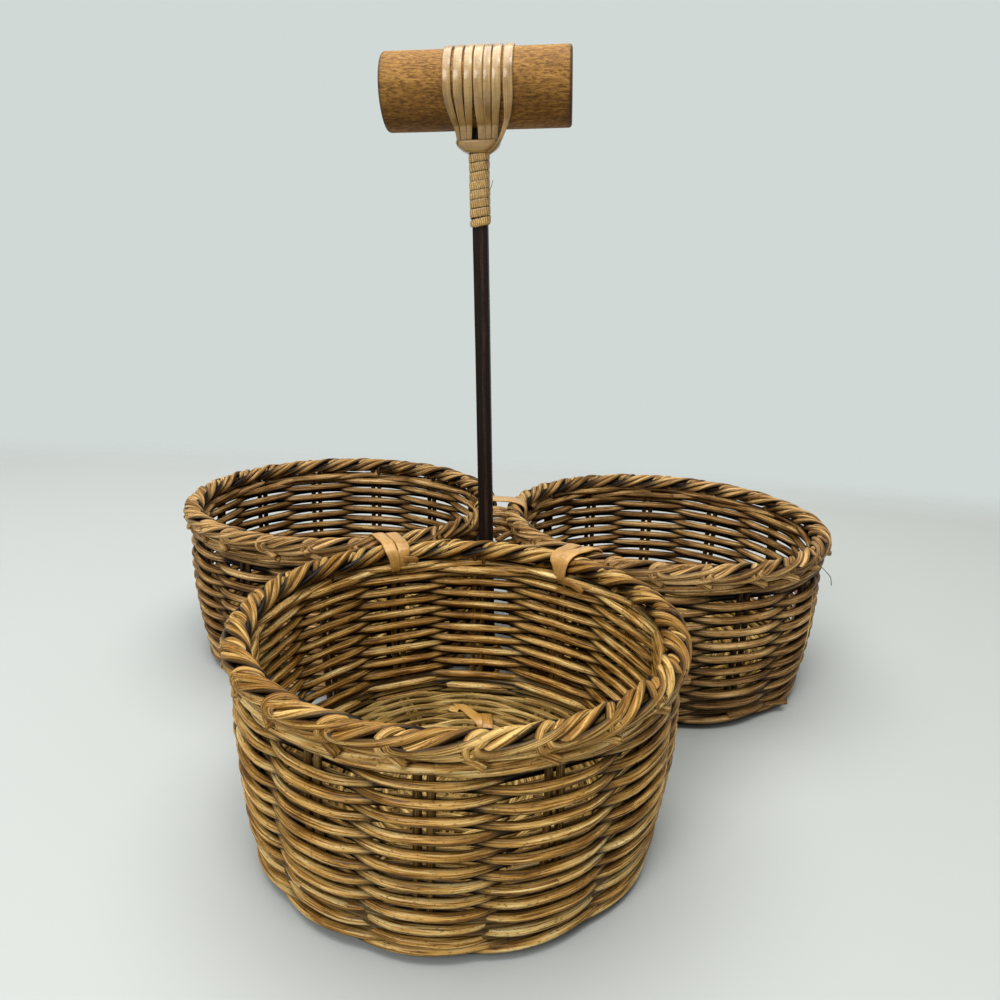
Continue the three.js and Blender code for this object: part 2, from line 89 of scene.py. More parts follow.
# How each basket is woven: its first stake's bearing, how unevenly the stakes stand and where they
# are widest apart, the stake the weaver starts at, its rows, the reed's radius and how much it swells
# inside the stakes, how much painted shade the stakes carry, where the border starts, and the seed of its
# draws
WEAVES = {
    "front": dict(first=31, uneven=7.4, widest=-15, start=1, rows=21, reed=1.5, swell=0.1,
                  stake_painted_shade=0.7, border=10.5, seed=11),
    "right": dict(first=29, uneven=10.4, widest=-25, start=10, rows=19, reed=1.74, swell=0.0,
                  stake_painted_shade=0.9, border=8.4, seed=23),
    "left": dict(first=62, uneven=5.6, widest=-35, start=4, rows=19, reed=1.7, swell=0.0,
                 stake_painted_shade=0.9, border=4.2, seed=37),
}


# Curves and swept strands

def unit(vector):
    return vector / np.maximum(np.linalg.norm(vector, axis=-1, keepdims=True), 1e-9)


def lerp(start, end, share):
    return start + (end - start) * share


def held(value):
    """A value held between 0 and 1."""
    return np.clip(value, 0, 1)


def smooth(share):
    share = held(share)
    return share * share * (3 - 2 * share)


def wobble(t, size, waves, seed):
    """A smooth random value along t, the same each run for one seed."""
    local = np.random.default_rng(seed)
    total = 0.0
    for wave in waves:
        phase = local.uniform(0, FULL)
        total += np.sin(t * wave * local.uniform(0.8, 1.25) + phase) * local.uniform(0.6, 1.0)
    return size * total / len(waves)


def curve(points, steps, closed=False):
    """A Catmull-Rom curve through points, with the same number of steps between each two."""
    points = np.asarray(points, float)
    count = len(points)
    out = []
    for i in range(count if closed else count - 1):
        near = np.arange(i - 1, i + 3)
        near = near % count if closed else np.clip(near, 0, count - 1)
        before, here, ahead, beyond = points[near]
        for t in np.arange(steps) / steps:
            out.append(0.5 * (2 * here + (ahead - before) * t
                              + (2 * before - 5 * here + 4 * ahead - beyond) * t ** 2
                              + (3 * here - before - 3 * ahead + beyond) * t ** 3))
    if not closed:
        out.append(points[-1])
    return np.asarray(out)


def on_ring(name, angle, radius, z):
    """Points round a basket's middle."""
    x = BASKETS[name][0] + radius * np.cos(angle)
    y = BASKETS[name][1] + radius * np.sin(angle)
    return np.stack([x, y, z + 0 * x], -1)


def round_section(local, sides=10):
    """A reed's section: nearly round, with soft ridges."""
    angle = np.arange(sides) * FULL / sides
    ridges = 1 + 0.05 * np.sin(2 * angle + local.uniform(0, FULL))
    ridges += 0.035 * np.sin(3 * angle + local.uniform(0, FULL))
    return np.stack([np.cos(angle) * ridges, np.sin(angle) * ridges], 1)


def squared(wave, power):
    """A sine or cosine made squarer by a power under one."""
    return np.sign(wave) * np.abs(wave) ** power


def flat_section(sides=12, power=0.5):
    """A flat strip with round edges, in half widths and half thicknesses."""
    angle = np.arange(sides) * FULL / sides
    return np.stack([squared(np.cos(angle), power), squared(np.sin(angle), power)], 1)


def new_object(name, data):
    thing = bpy.data.objects.new(name, data)
    bpy.context.scene.collection.objects.link(thing)
    return thing


class Strands:
    """Collects swept strands, and makes one mesh of them."""

    def __init__(self, seed):
        self.random = np.random.default_rng(seed)
        self.points, self.faces, self.reed, self.kind = [], [], [], []
        self.count = 0

    def draw(self, low, high):
        return self.random.uniform(low, high)

    def grid(self, rings, reed, kind, wrap=False):
        """Rings of points, joined into a tube. With wrap, the last ring joins the first."""
        steps, sides = rings.shape[:2]
        base = self.count
        self.points.append(rings.reshape(-1, 3))
        self.reed.append(reed.reshape(-1, 3))
        self.kind.append(kind.reshape(-1, 3))
        i = np.arange(steps if wrap else steps - 1)[:, None]
        j = np.arange(sides)
        here, ahead = base + i * sides, base + ((i + 1) % steps) * sides
        right = (j + 1) % sides
        quads = np.stack([here + j, here + right, ahead + right, ahead + j], -1)
        self.faces += quads.reshape(-1, 4).tolist()
        if not wrap:
            last = base + (steps - 1) * sides
            self.faces.append(list(range(base, base + sides))[::-1])
            self.faces.append(list(range(last, last + sides)))
        self.count += steps * sides

    def add(self, path, half_width, half_height=None, section=None, ref=(0, 0, 1), closed=False,
            ident=None, dark=0.0, tone=0.5, ragged=0.0):
        """Sweeps a section along a path. Its first axis stays as near to ref as it can."""
        path = np.asarray(path, float)
        steps = len(path)
        section = round_section(self.random) if section is None else section
        sides = len(section)
        half_height = half_width if half_height is None else half_height
        wide = np.broadcast_to(half_width, steps)
        high = np.broadcast_to(half_height, steps)
        if closed:
            ahead = unit(np.roll(path, -1, 0) - np.roll(path, 1, 0))
        else:
            ahead = unit(np.gradient(path, axis=0))
        ref = np.broadcast_to(ref, (steps, 3))
        side = unit(ref - (ref * ahead).sum(1, keepdims=True) * ahead)
        up = np.cross(ahead, side)
        first, second = section[:, 0] * wide[:, None], section[:, 1] * high[:, None]
        rings = path[:, None] + side[:, None] * first[:, :, None] + up[:, None] * second[:, :, None]
        if ragged and not closed:
            rings[0] -= ahead[0] * self.random.uniform(0, ragged, (sides, 1))
            rings[-1] += ahead[-1] * self.random.uniform(0, ragged, (sides, 1))
        along = np.concatenate([[0], np.cumsum(np.linalg.norm(np.diff(path, axis=0), axis=1))])
        reed = np.stack([along[:, None] + 0 * first, first, second], -1)
        dark = np.asarray(dark, float)
        kind = np.zeros_like(rings)
        kind[:, :, 0] = self.random.uniform() if ident is None else ident
        kind[:, :, 1] = dark[:, None] if dark.ndim == 1 else dark
        kind[:, :, 2] = tone
        self.grid(rings, reed, kind, wrap=closed)

    def make(self, name, material, node, placed=np.eye(4)):
        points = np.concatenate(self.points) @ placed[:3, :3].T + placed[:3, 3]
        mesh = bpy.data.meshes.new(name)
        mesh.from_pydata((points * MM).tolist(), [], self.faces)
        for attribute, values in (("reed", self.reed), ("kind", self.kind)):
            layer = mesh.attributes.new(attribute, "FLOAT_VECTOR", "POINT")
            layer.data.foreach_set("vector", np.concatenate(values).astype(np.float32).ravel())
        mesh.polygons.foreach_set("use_smooth", np.full(len(mesh.polygons), True))
        mesh.materials.append(material)
        mesh.validate()
        mesh.update()
        piece = new_object(name, mesh)
        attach(piece, "root")
        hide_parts(node)


# Materials. Every mesh carries two attributes. The first, reed, holds the place along a strand and
# across its section in millimetres. The second, kind, holds the strand's own number, its painted
# shade where it lies in a crevice, under or beside other strands (for the dark hair, its own dark colour),
# and its tone.

class Nodes:
    """Short ways to lay out the shader nodes of a material or a world."""

    def __init__(self, owner, output="OutputMaterial"):
        self.owner = owner
        owner.use_nodes = True
        self.tree = owner.node_tree
        self.tree.nodes.clear()
        self.out = self.new(output)

    def put(self, socket, value):
        if hasattr(value, "is_output"):
            self.tree.links.new(value, socket)
        else:
            socket.default_value = value

    def new(self, kind, inputs=(), **settings):
        """A shader node with its settings, and with values or links in its inputs."""
        node = self.tree.nodes.new("ShaderNode" + kind)
        for name, value in settings.items():
            setattr(node, name, value)
        for name, value in dict(inputs).items():
            self.put(node.inputs[name], value)
        return node

    def attribute(self, name):
        return self.new("Attribute", attribute_name=name).outputs["Vector"]

    def split(self, vector):
        return self.new("SeparateXYZ", {0: vector}).outputs

    def math(self, kind, first, second=0.0, clamp=False):
        return self.new("Math", {0: first, 1: second}, operation=kind, use_clamp=clamp).outputs[0]

    def total(self, *terms):
        """The sum of values, each times its weight."""
        result = None
        for value, weight in terms:
            term = self.math("MULTIPLY", value, weight)
            result = term if result is None else self.math("ADD", result, term)
        return result

    def noise(self, vector, scale, detail, rough, offset=0.0):
        """Noise on a vector scaled by axis. Another offset gives another pattern."""
        scaled = self.new("VectorMath", {0: vector, 1: scale}, operation="MULTIPLY").outputs[0]
        inputs = {"Vector": scaled, "Scale": 1.0, "Detail": detail, "Roughness": rough, "W": offset}
        return self.new("TexNoise", inputs, noise_dimensions="4D").outputs["Fac"]

    def ramp(self, value, stops):
        node = self.new("ValToRGB", {0: value})
        elements = node.color_ramp.elements
        while len(elements) < len(stops):
            elements.new(0.5)
        for element, (at, colour) in zip(elements, stops):
            element.position = at
            element.color = (colour, colour, colour, 1.0) if np.isscalar(colour) else colour
        return node.outputs[0]

    def below(self, value, edge, soft=0.07):
        """One where a value is under an edge, and zero above it."""
        return self.ramp(value, [(edge, 1.0), (edge + soft, 0.0)])

    def mix(self, colour, share, weight, other, clamp=False):
        """A colour with another laid over it, by a share times a weight."""
        inputs = {"Factor": self.math("MULTIPLY", share, weight, clamp), "A": colour, "B": other}
        return self.new("Mix", inputs, data_type="RGBA").outputs["Result"]

    def bump(self, height, strength, distance):
        return self.new("Bump", {"Strength": strength, "Distance": distance, "Height": height}).outputs[0]

    def principled(self, colour, rough, normal=None, coat=0.0, coat_rough=0.2, specular=0.5):
        inputs = {"Base Color": colour, "Roughness": rough, "Specular IOR Level": specular,
                  "Coat Weight": coat, "Coat Roughness": coat_rough}
        if normal is not None:
            inputs["Normal"] = normal
        return self.new("BsdfPrincipled", inputs)

    def mix_shaders(self, share, first, second):
        return self.new("MixShader", {0: share, 1: first.outputs[0], 2: second.outputs[0]})

    def surface(self, shader):
        self.put(self.out.inputs["Surface"], shader.outputs[0])
        return self.owner


def srgb(*channels):
    """A colour as it shows on a screen, 0 to 255, as the shader's linear values."""
    linear = [((c / 255 + 0.055) / 1.055) ** 2.4 if c > 10 else c / 255 / 12.92 for c in channels]
    return (*linear, 1.0)


# Colour laid on for painted shade in crevices, under and between strands, and as the dark hair's own colour
PAINTED_SHADE_AND_TINT = srgb(14, 8, 4)


def reed_material(name, shine, *colours):
    """Round reed: long fibres, dark lines and specks, and painted shade where strands cross and lie in
    crevices.
    """
    nodes = Nodes(bpy.data.materials.new(name))
    dark, deep, middle, bright = (srgb(*colour) for colour in colours)
    reed = nodes.attribute("reed")
    ident, painted_shade_and_tint, tone = nodes.split(nodes.attribute("kind"))
    own = nodes.math("MULTIPLY", ident, 37.0)
    streak = nodes.noise(reed, (0.04, 1.25, 1.25), 4.0, 0.66, own)
    fibre = nodes.noise(reed, (0.07, 2.3, 2.3), 2.0, 0.6, own)
    patch = nodes.noise(reed, (0.05, 0.12, 0.12), 2.0, 0.5, nodes.math("ADD", own, 5.0))
    speck = nodes.noise(reed, (0.75, 1.6, 1.6), 3.0, 0.6, nodes.math("ADD", own, 11.0))
    level = nodes.total((streak, 1.0), (fibre, 0.9), (patch, 0.6), (tone, 0.4))
    level = nodes.math("SUBTRACT", level, 0.93, True)
    colour = nodes.ramp(level, [(0.24, dark), (0.42, deep), (0.58, middle), (0.8, bright)])
    colour = nodes.mix(colour, nodes.below(speck, 0.36), 0.6, dark)
    colour = nodes.mix(colour, nodes.below(fibre, 0.37), 0.55, dark)
    # Painted shade from the kind attribute, where the strand lies in a crevice, under or between others
    colour = nodes.mix(colour, painted_shade_and_tint, 1.0, PAINTED_SHADE_AND_TINT, clamp=True)
    rough = nodes.math("SUBTRACT", 0.66, nodes.math("MULTIPLY", streak, 0.25))
    normal = nodes.bump(nodes.total((fibre, 0.8), (streak, 0.6)), 0.8, 0.7 * MM)
    return nodes.surface(nodes.principled(colour, rough, normal, shine, coat_rough=0.25, specular=0.02))


RIB_SPACING = 0.85


def cane_material(name, shine, ribs, *colours):
    """Flat cane: a glossy skin with faint long fibres and fine cracks or ribs across it."""
    nodes = Nodes(bpy.data.materials.new(name))
    deep, middle, bright = (srgb(*colour) for colour in colours)
    reed = nodes.attribute("reed")
    ident, painted_shade_and_tint, tone = nodes.split(nodes.attribute("kind"))
    own = nodes.math("MULTIPLY", ident, 29.0)
    fibre = nodes.noise(reed, (0.06, 2.4, 0.5), 3.0, 0.6, own)
    cracks = nodes.noise(reed, (2.2, 0.3, 0.3), 3.0, 0.65, own)
    patch = nodes.noise(reed, (0.12, 0.3, 0.2), 2.0, 0.5, own)
    level = nodes.math("SUBTRACT", nodes.total((fibre, 0.5), (patch, 0.5), (tone, 0.4)), 0.2, True)
    colour = nodes.ramp(level, [(0.28, deep), (0.5, middle), (0.72, bright)])
    thin = nodes.below(cracks, 0.38)
    if ribs:
        along = nodes.split(reed)[0]
        bent = nodes.total((along, FULL / RIB_SPACING), (cracks, 9.0), (patch, 12.0))
        thin = nodes.ramp(nodes.math("SINE", bent), [(0.0, 1.0), (0.5, 0.0)])
    colour = nodes.mix(colour, thin, 0.3 + 0.5 * ribs, deep)
    # Painted shade from the kind attribute, where the cane runs under or between other parts
    colour = nodes.mix(colour, painted_shade_and_tint, 0.85, PAINTED_SHADE_AND_TINT, clamp=True)
    normal = nodes.bump(nodes.total((fibre, 0.4), (thin, -0.5 - ribs)), 0.4, 0.5 * MM)
    rough = nodes.math("ADD", nodes.math("MULTIPLY", patch, 0.2), 0.22 + 0.15 * ribs)
    return nodes.surface(nodes.principled(colour, rough, normal, shine, coat_rough=0.14))


def dowel_material():
    """Honey-brown wood with short dark flecks along the grain, painted shade on its lower side, and darker
    at its edges.
    """
    nodes = Nodes(bpy.data.materials.new("dowel_wood"))
    point = nodes.new("TexCoord").outputs["Object"]
    _, painted_low_shade, edge = nodes.split(nodes.attribute("kind"))
    grain = nodes.noise(point, (240.0, 1300.0, 1100.0), 4.0, 0.7)
    fleck = nodes.noise(point, (460.0, 1700.0, 1300.0), 2.0, 0.6, 3.0)
    band = nodes.noise(point, (24.0, 70.0, 110.0), 3.0, 0.5, 7.0)
    level = nodes.total((grain, 0.62), (band, 0.5), (fleck, 0.4), (painted_low_shade, -0.12))
    level = nodes.math("SUBTRACT", level, 0.22, True)
    stops = [(0.3, srgb(80, 52, 18)), (0.44, srgb(126, 87, 36)), (0.56, srgb(156, 112, 50)),
             (0.74, srgb(196, 152, 84))]
    colour = nodes.ramp(level, stops)
    colour = nodes.mix(colour, nodes.below(fleck, 0.4), 0.6, srgb(92, 58, 20))
    colour = nodes.mix(colour, edge, 1.0, srgb(56, 40, 34))
    normal = nodes.bump(nodes.total((grain, 1.0), (fleck, 0.8)), 0.6, 0.5 * MM)
    return nodes.surface(nodes.principled(colour, 0.6, normal, specular=0.2))


def post_material():
    """Dark stained wood with fine upright grain and a paler stripe down the middle of its front and back
    faces.
    """
    nodes = Nodes(bpy.data.materials.new("post_wood"))
    reed = nodes.attribute("reed")
    across = nodes.split(reed)[1]
    grain = nodes.noise(reed, (0.05, 2.4, 2.4), 4.0, 0.65)
    pore = nodes.noise(reed, (0.7, 5.0, 5.0), 2.0, 0.6, 4.0)
    from_stripe = nodes.math("ABSOLUTE", nodes.math("SUBTRACT", across, 0.5))
    stripe = nodes.below(from_stripe, 0.5, 0.45)
    level = nodes.math("SUBTRACT", nodes.total((grain, 0.8), (pore, 0.3), (stripe, 0.16)), 0.12, True)
    stops = [(0.34, srgb(14, 9, 8)), (0.52, srgb(30, 19, 15)), (0.64, srgb(60, 38, 28)),
             (0.8, srgb(96, 66, 50))]
    normal = nodes.bump(nodes.total((grain, 1.0), (pore, 0.5)), 0.5, 0.6 * MM)
    return nodes.surface(nodes.principled(nodes.ramp(level, stops), 0.5, normal, specular=0.15))


# Each reed's shine, and its colours from its darkest lines to its brightest fibres
reed_front = reed_material("reed_front", 0.28, (78, 48, 17), (156, 111, 47), (216, 168, 91), (255, 231, 162))
reed_back = reed_material("reed_back", 0.16, (66, 43, 21), (124, 89, 48), (178, 136, 80), (238, 198, 136))
reed_border = reed_material("reed_border", 0.2, (76, 46, 16), (138, 96, 40), (176, 131, 64), (240, 204, 130))
reed_floor = reed_material("reed_floor", 0.1, (76, 54, 22), (132, 103, 50), (178, 144, 80), (230, 200, 132))
# Each cane's shine, how strong its ribs are, and its colours from dark to bright
lashing_cane = cane_material("lashing_cane", 0.5, 0.0, (114, 80, 36), (170, 134, 77), (198, 166, 108))
binding_cane = cane_material("binding_cane", 0.15, 1.0, (138, 100, 48), (210, 172, 104), (234, 202, 138))
tie_cane = cane_material("tie_cane", 0.25, 0.0, (130, 86, 32), (188, 140, 68), (214, 170, 96))
dowel_wood = dowel_material()
post_wood = post_material()


# Baskets

def stake_angle(name, count):
    """The bearing of a stake, or of a place between stakes."""
    weave = WEAVES[name]
    widest = math.radians(weave["widest"])
    turned = FULL * count / STATIONS
    spread = weave["uneven"] * (np.sin(turned - widest) + math.sin(widest))
    return np.radians(weave["first"] + spread) + turned


def wall_outer(z):
    """The wall's outside radius at a height, on a parabola through its foot, belly and top."""
    up = (z - WALL_BOTTOM) / (WALL_TOP - WALL_BOTTOM)
    bottom, belly, top = (RIM_RADIUS - inset for inset in WALL_INSETS)
    return bottom * (1 - up) * (1 - 2 * up) + 4 * belly * up * (1 - up) + top * up * (2 * up - 1)


def wall_middle(z):
    """The radius of the stakes' middles at a height."""
    return wall_outer(np.clip(z, WALL_BOTTOM, WALL_TOP)) - WEAVE_SWING - OUTER_REED_INSET


def swing_of(count):
    """Where a weaver runs: 1 outside the stakes at even counts, -1 inside them at odd ones."""
    wave = np.cos(math.pi * count)
    return wave * (1.5 - 0.5 * wave * wave)


def painted_shade_of(section, swing, depth=1.0):
    """The painted shade on a strand: on its side towards the stakes, at crossings, below and on top."""
    upward, outward = section.T
    swing = swing[:, None]
    turned_in = held(-1.8 * swing * outward) ** 0.6
    crossing = (1 - np.abs(swing)) * np.abs(upward)
    under = held(0.1 - upward)
    above = held(upward) ** 4
    return held(depth * turned_in + 0.5 * crossing + 0.9 * under + 0.3 * above)


def lengths(strands, path, swing, thick, shade, turn, turns, overlap, tones, ragged=0.0):
    """One long weaver as lengths of reed, each of its own tone and overlapping the next."""
    start = 0
    while start < len(path) - 4:
        end = min(len(path), start + int(strands.draw(*turns) * turn))
        part = slice(start, min(len(path), end + overlap))
        section = round_section(strands.random)
        strands.add(path[part], thick[part], section=section, dark=shade(section, swing[part]),
                    tone=strands.draw(*tones), ragged=ragged)
        start = end


def weave_rows(strands, name, first, last, outermost=1.0):
    """Rows of the wall's one long weaver, from one row to another, swinging out no further than asked."""
    weave = WEAVES[name]
    seed = weave["seed"]
    turn = STATIONS * 10
    count = np.linspace(first * STATIONS, last * STATIONS, int((last - first) * turn))
    angle = stake_angle(name, weave["start"] + count)
    pitch = (WALL_TOP - WALL_BOTTOM) / (weave["rows"] + 1)
    z = WALL_BOTTOM + pitch * (count / STATIONS + 0.5)
    swing = np.minimum(swing_of(count), outermost)
    radius = wall_middle(z) + WEAVE_SWING * swing + wobble(angle, 0.28, (0.9, 2.7, 6.3), seed + 1)
    z = z + wobble(angle, 0.3, (0.37, 1.0, 2.3, 5.1), seed) + wobble(count, 0.22, (1.57, 3.3), seed + 5)
    z = np.maximum(z, WALL_BOTTOM + 0.6)
    uneven = 1 + wobble(angle, 0.06, (0.21, 0.8, 3.0), seed + 2)
    low_down = held(1.5 - (z - WALL_BOTTOM) / 6)
    thick = weave["reed"] * (0.91 + 0.09 * np.abs(swing)) * uneven
    thick *= 1 + 0.14 * low_down
    thick *= 1 + weave["swell"] * held(-swing)
    path = on_ring(name, angle, radius, z)
    # The weaver carries painted shade against the stakes, at crossings and below
    lengths(strands, path, swing, thick, painted_shade_of, turn, (1.3, 2.6), 6, (0.3, 0.72), ragged=0.5)


# Heights of the plain rings that close the corner between the wall and the floor
CORNER_RINGS = (FLOOR_BOTTOM + 1.5, FLOOR_TOP + 1.1, FLOOR_TOP + 3.7, FLOOR_TOP + 6.3)
CORNER_REED = 1.6


def wall_weave(name, material):
    strands = Strands(WEAVES[name]["seed"])
    weave_rows(strands, name, 0, WEAVES[name]["rows"])
    angle = np.linspace(0, FULL, 120, endpoint=False)
    for z in CORNER_RINGS:
        ring = on_ring(name, angle, wall_middle(z), z)
        # The corner rings carry painted shade
        strands.add(ring, CORNER_REED, closed=True, dark=0.8)
    strands.make(f"{name}_wall_weave", material, f"{name}_wall")


def stakes(name, material):
    """A pair of upright stakes at every station, up into the border."""
    strands = Strands(WEAVES[name]["seed"] + 100)
    z = np.linspace(WALL_BOTTOM - 1.0, BASKET_TOP - BORDER_SIZE / 2, 24)
    for station in stake_angle(name, np.arange(STATIONS)):
        for sign in (-1, 1):
            sway = wobble(z * 0.05, 0.003, (1.0, 2.1), int(strands.random.integers(1000)))
            path = on_ring(name, station + sign * STAKE_SPREAD + sway, wall_middle(z), z)
            # The stakes carry painted shade, as they stand behind the weaver
            strands.add(path, STAKE_RADIUS, dark=WEAVES[name]["stake_painted_shade"],
                        tone=strands.draw(0.3, 0.55), ref=(1, 0.3, 0))
    strands.make(f"{name}_stakes", material, f"{name}_wall")


WALING_ROD = 1.55
WALING_OUTER = RIM_RADIUS - 3.4
WALING_INNER = RIM_RADIUS - 7.6
ROWS_BEHIND_WALING = 2.6


def waling(name, material):
    """Three-rod waling: each rod climbs outside two stakes, then drops inside the third. Behind it the
    wall's rows go on up to the border."""
    weave = WEAVES[name]
    strands = Strands(weave["seed"] + 200)
    weave_rows(strands, name, weave["rows"], weave["rows"] + ROWS_BEHIND_WALING, 0.1)
    rods, steps, pieces, overlap = 3, 12, 9, 6
    count = np.linspace(0, rods * STATIONS, rods * STATIONS * steps, endpoint=False)
    place = count % rods
    swing = np.tanh(2.2 * (np.cos(FULL * (place - 1) / rods) + 0.35))
    climb = np.where(place < 2, place / 2, rods - place)
    climb = sum(np.roll(climb, shift) for shift in (2, 1, 0, -1, -2)) / 5
    angle = stake_angle(name, count)
    z = lerp(WALING_BOTTOM + 1.2, WALING_TOP - 1.9, climb) + wobble(angle, 0.2, (1, 3), weave["seed"])
    path = on_ring(name, angle, lerp(WALING_INNER, WALING_OUTER, 0.5 + 0.5 * swing), z)
    piece = len(path) // pieces
    for start in range(0, len(path), piece):
        part = np.arange(start, start + piece + overlap) % len(path)
        section = round_section(strands.random)
        # Each rod carries painted shade against the stakes, at crossings and below
        strands.add(path[part], WALING_ROD, section=section, dark=painted_shade_of(section, swing[part], 0.9),
                    tone=strands.draw(0.42, 0.75), ragged=0.4)
    strands.make(f"{name}_waling_weave", material, f"{name}_waling")


def twined_ring(strands, name, radius, z, swing_size, rise, thick, dark):
    """A pair of rods that turn round each other at every stake, as one closed way of two rounds."""
    rounds, steps = 2, 12
    count = np.linspace(0, rounds * STATIONS, rounds * STATIONS * steps, endpoint=False)
    swing = np.cos(math.pi * count)
    angle = stake_angle(name, count)
    path = on_ring(name, angle, radius + swing_size * swing, z + rise * np.sin(math.pi * count))
    section = round_section(strands.random)
    # Painted shade against the stakes, at crossings and below, with any extra shade asked for
    shade = held(painted_shade_of(section, swing, 0.8) + dark)
    strands.add(path, thick, section=section, closed=True, dark=shade, tone=0.55)


# The cut end that stands out at the right basket's foot: bearing, radius and height
FOOT_END = ((-49, 71.5, 5.2), (-45, 72.6, 5.1), (-42, 74.4, 5.0), (-40, 76.0, 4.9))


def foot(name, material):
    """The bottom edge: one bright pair under the wall, and pairs set in below it that carry painted shade,
    standing in for the shadow under the basket.
    """
    strands = Strands(WEAVES[name]["seed"] + 300)
    radius = wall_outer(WALL_BOTTOM) - 1.9
    twined_ring(strands, name, radius, FOOT_TOP + 0.5, 1.3, 0.7, 1.5, 0.0)
    # The set-in pairs carry painted shade for the shadow under the wall
    twined_ring(strands, name, radius - 3.6, 1.35, 0.9, 0.1, 1.25, 0.72)
    twined_ring(strands, name, radius - 3.3, 3.3, 0.9, 0.4, 1.25, 0.72)
    if name == "right":
        bearing, reach, height = np.array(FOOT_END).T
        end = on_ring(name, np.radians(bearing), reach, height)
        strands.add(end, 1.3, tone=0.3, dark=0.25, ragged=0.5)
    strands.make(f"{name}_foot_weave", material, f"{name}_foot")


FLOOR_STAKE = 1.2
FLOOR_STAKE_END = RIM_RADIUS - 10.0
FLOOR_REED = 1.44
FLOOR_PITCH = 2.76
FLOOR_INNER = 3.4
FLOOR_OUTER = RIM_RADIUS - 10.4
# Radius and height of the two rings at the floor's edge
FLOOR_RINGS = ((RIM_RADIUS - 10.6, FLOOR_TOP + 0.3), (RIM_RADIUS - 9.9, FLOOR_TOP + 2.5))


def floor_shade(section, swing):
    """A floor strand carries painted shade at its sides, and where it runs under the stakes."""
    sides = np.abs(section[:, 1]) ** 1.5 * 0.55
    below = 0.45 * held(-swing)[:, None]
    return held(sides + below)


def floor_weave(name, material):
    """Pairs of stakes out from the middle, two rings at the edge, and a weaver that winds outwards."""
    seed = WEAVES[name]["seed"] + 400
    strands = Strands(seed)
    middle = (FLOOR_BOTTOM + FLOOR_TOP) / 2
    radius = np.linspace(1.2, FLOOR_STAKE_END, 24)
    for station in stake_angle(name, np.arange(STATIONS)):
        for sign in (-1, 1):
            angle = station + sign * np.minimum(1.5 / radius, 0.22)
            # The floor stakes carry painted shade
            strands.add(on_ring(name, angle, radius, middle), FLOOR_STAKE, dark=0.5,
                        tone=strands.draw(0.35, 0.6))
    for radius, z in FLOOR_RINGS:
        # The edge rings carry painted shade
        twined_ring(strands, name, radius, z, 0.7, 0.4, 1.4, 0.45)
    rounds = (FLOOR_OUTER - FLOOR_INNER) / FLOOR_PITCH
    turn = STATIONS * 8
    count = np.linspace(0, rounds * STATIONS, int(rounds * turn))
    angle = stake_angle(name, count)
    swing = swing_of(count)
    radius = FLOOR_INNER + FLOOR_PITCH * count / STATIONS + wobble(angle, 0.25, (0.7, 1.9, 4.0), seed + 1)
    z = middle + swing * np.clip(radius / 14, 0.5, 1)
    path = on_ring(name, angle, radius, z)
    thick = np.full(len(path), FLOOR_REED)
    lengths(strands, path, swing, thick, floor_shade, turn, (1.2, 2.2), 5, (0.35, 0.75))
    strands.make(f"{name}_floor_weave", material, f"{name}_floor")


# The way of a pair of border rods: degrees along the rim from where it hooks out, the turn round the
# border's middle line (0 is outwards, 90 up, 180 inwards), and the share of the border's own size
BORDER_ROUTE = (
    (5.4, 205, 0.2), (4.8, 165, 0.5), (3.4, 118, 0.8), (1.4, 76, 1.0), (-0.5, 38, 1.14),
    (-1.1, 4, 1.22), (0.1, -28, 1.24), (3.0, -40, 1.2), (7, -30, 1.16), (12, -9, 1.14),
    (16.5, 18, 1.12), (20.5, 56, 1.08), (24.5, 98, 1.0), (28.5, 140, 0.95), (33, 186, 0.9),
    (37, 226, 0.88), (41, 262, 1.0), (44, 285, 1.5), (47.4, 292, 2.6),
)
BORDER_TAIL = 41
BORDER_PAIRS = 24
BORDER_ROD = 1.46
BORDER_CORE = 1.7
BORDER_REACH = 3.0
BORDER_RISE = 2.3
BORDER_MIDDLE = RIM_RADIUS - BORDER_SIZE / 2 - 0.6
BORDER_HEIGHT = BASKET_TOP - BORDER_RISE - BORDER_ROD - 0.1


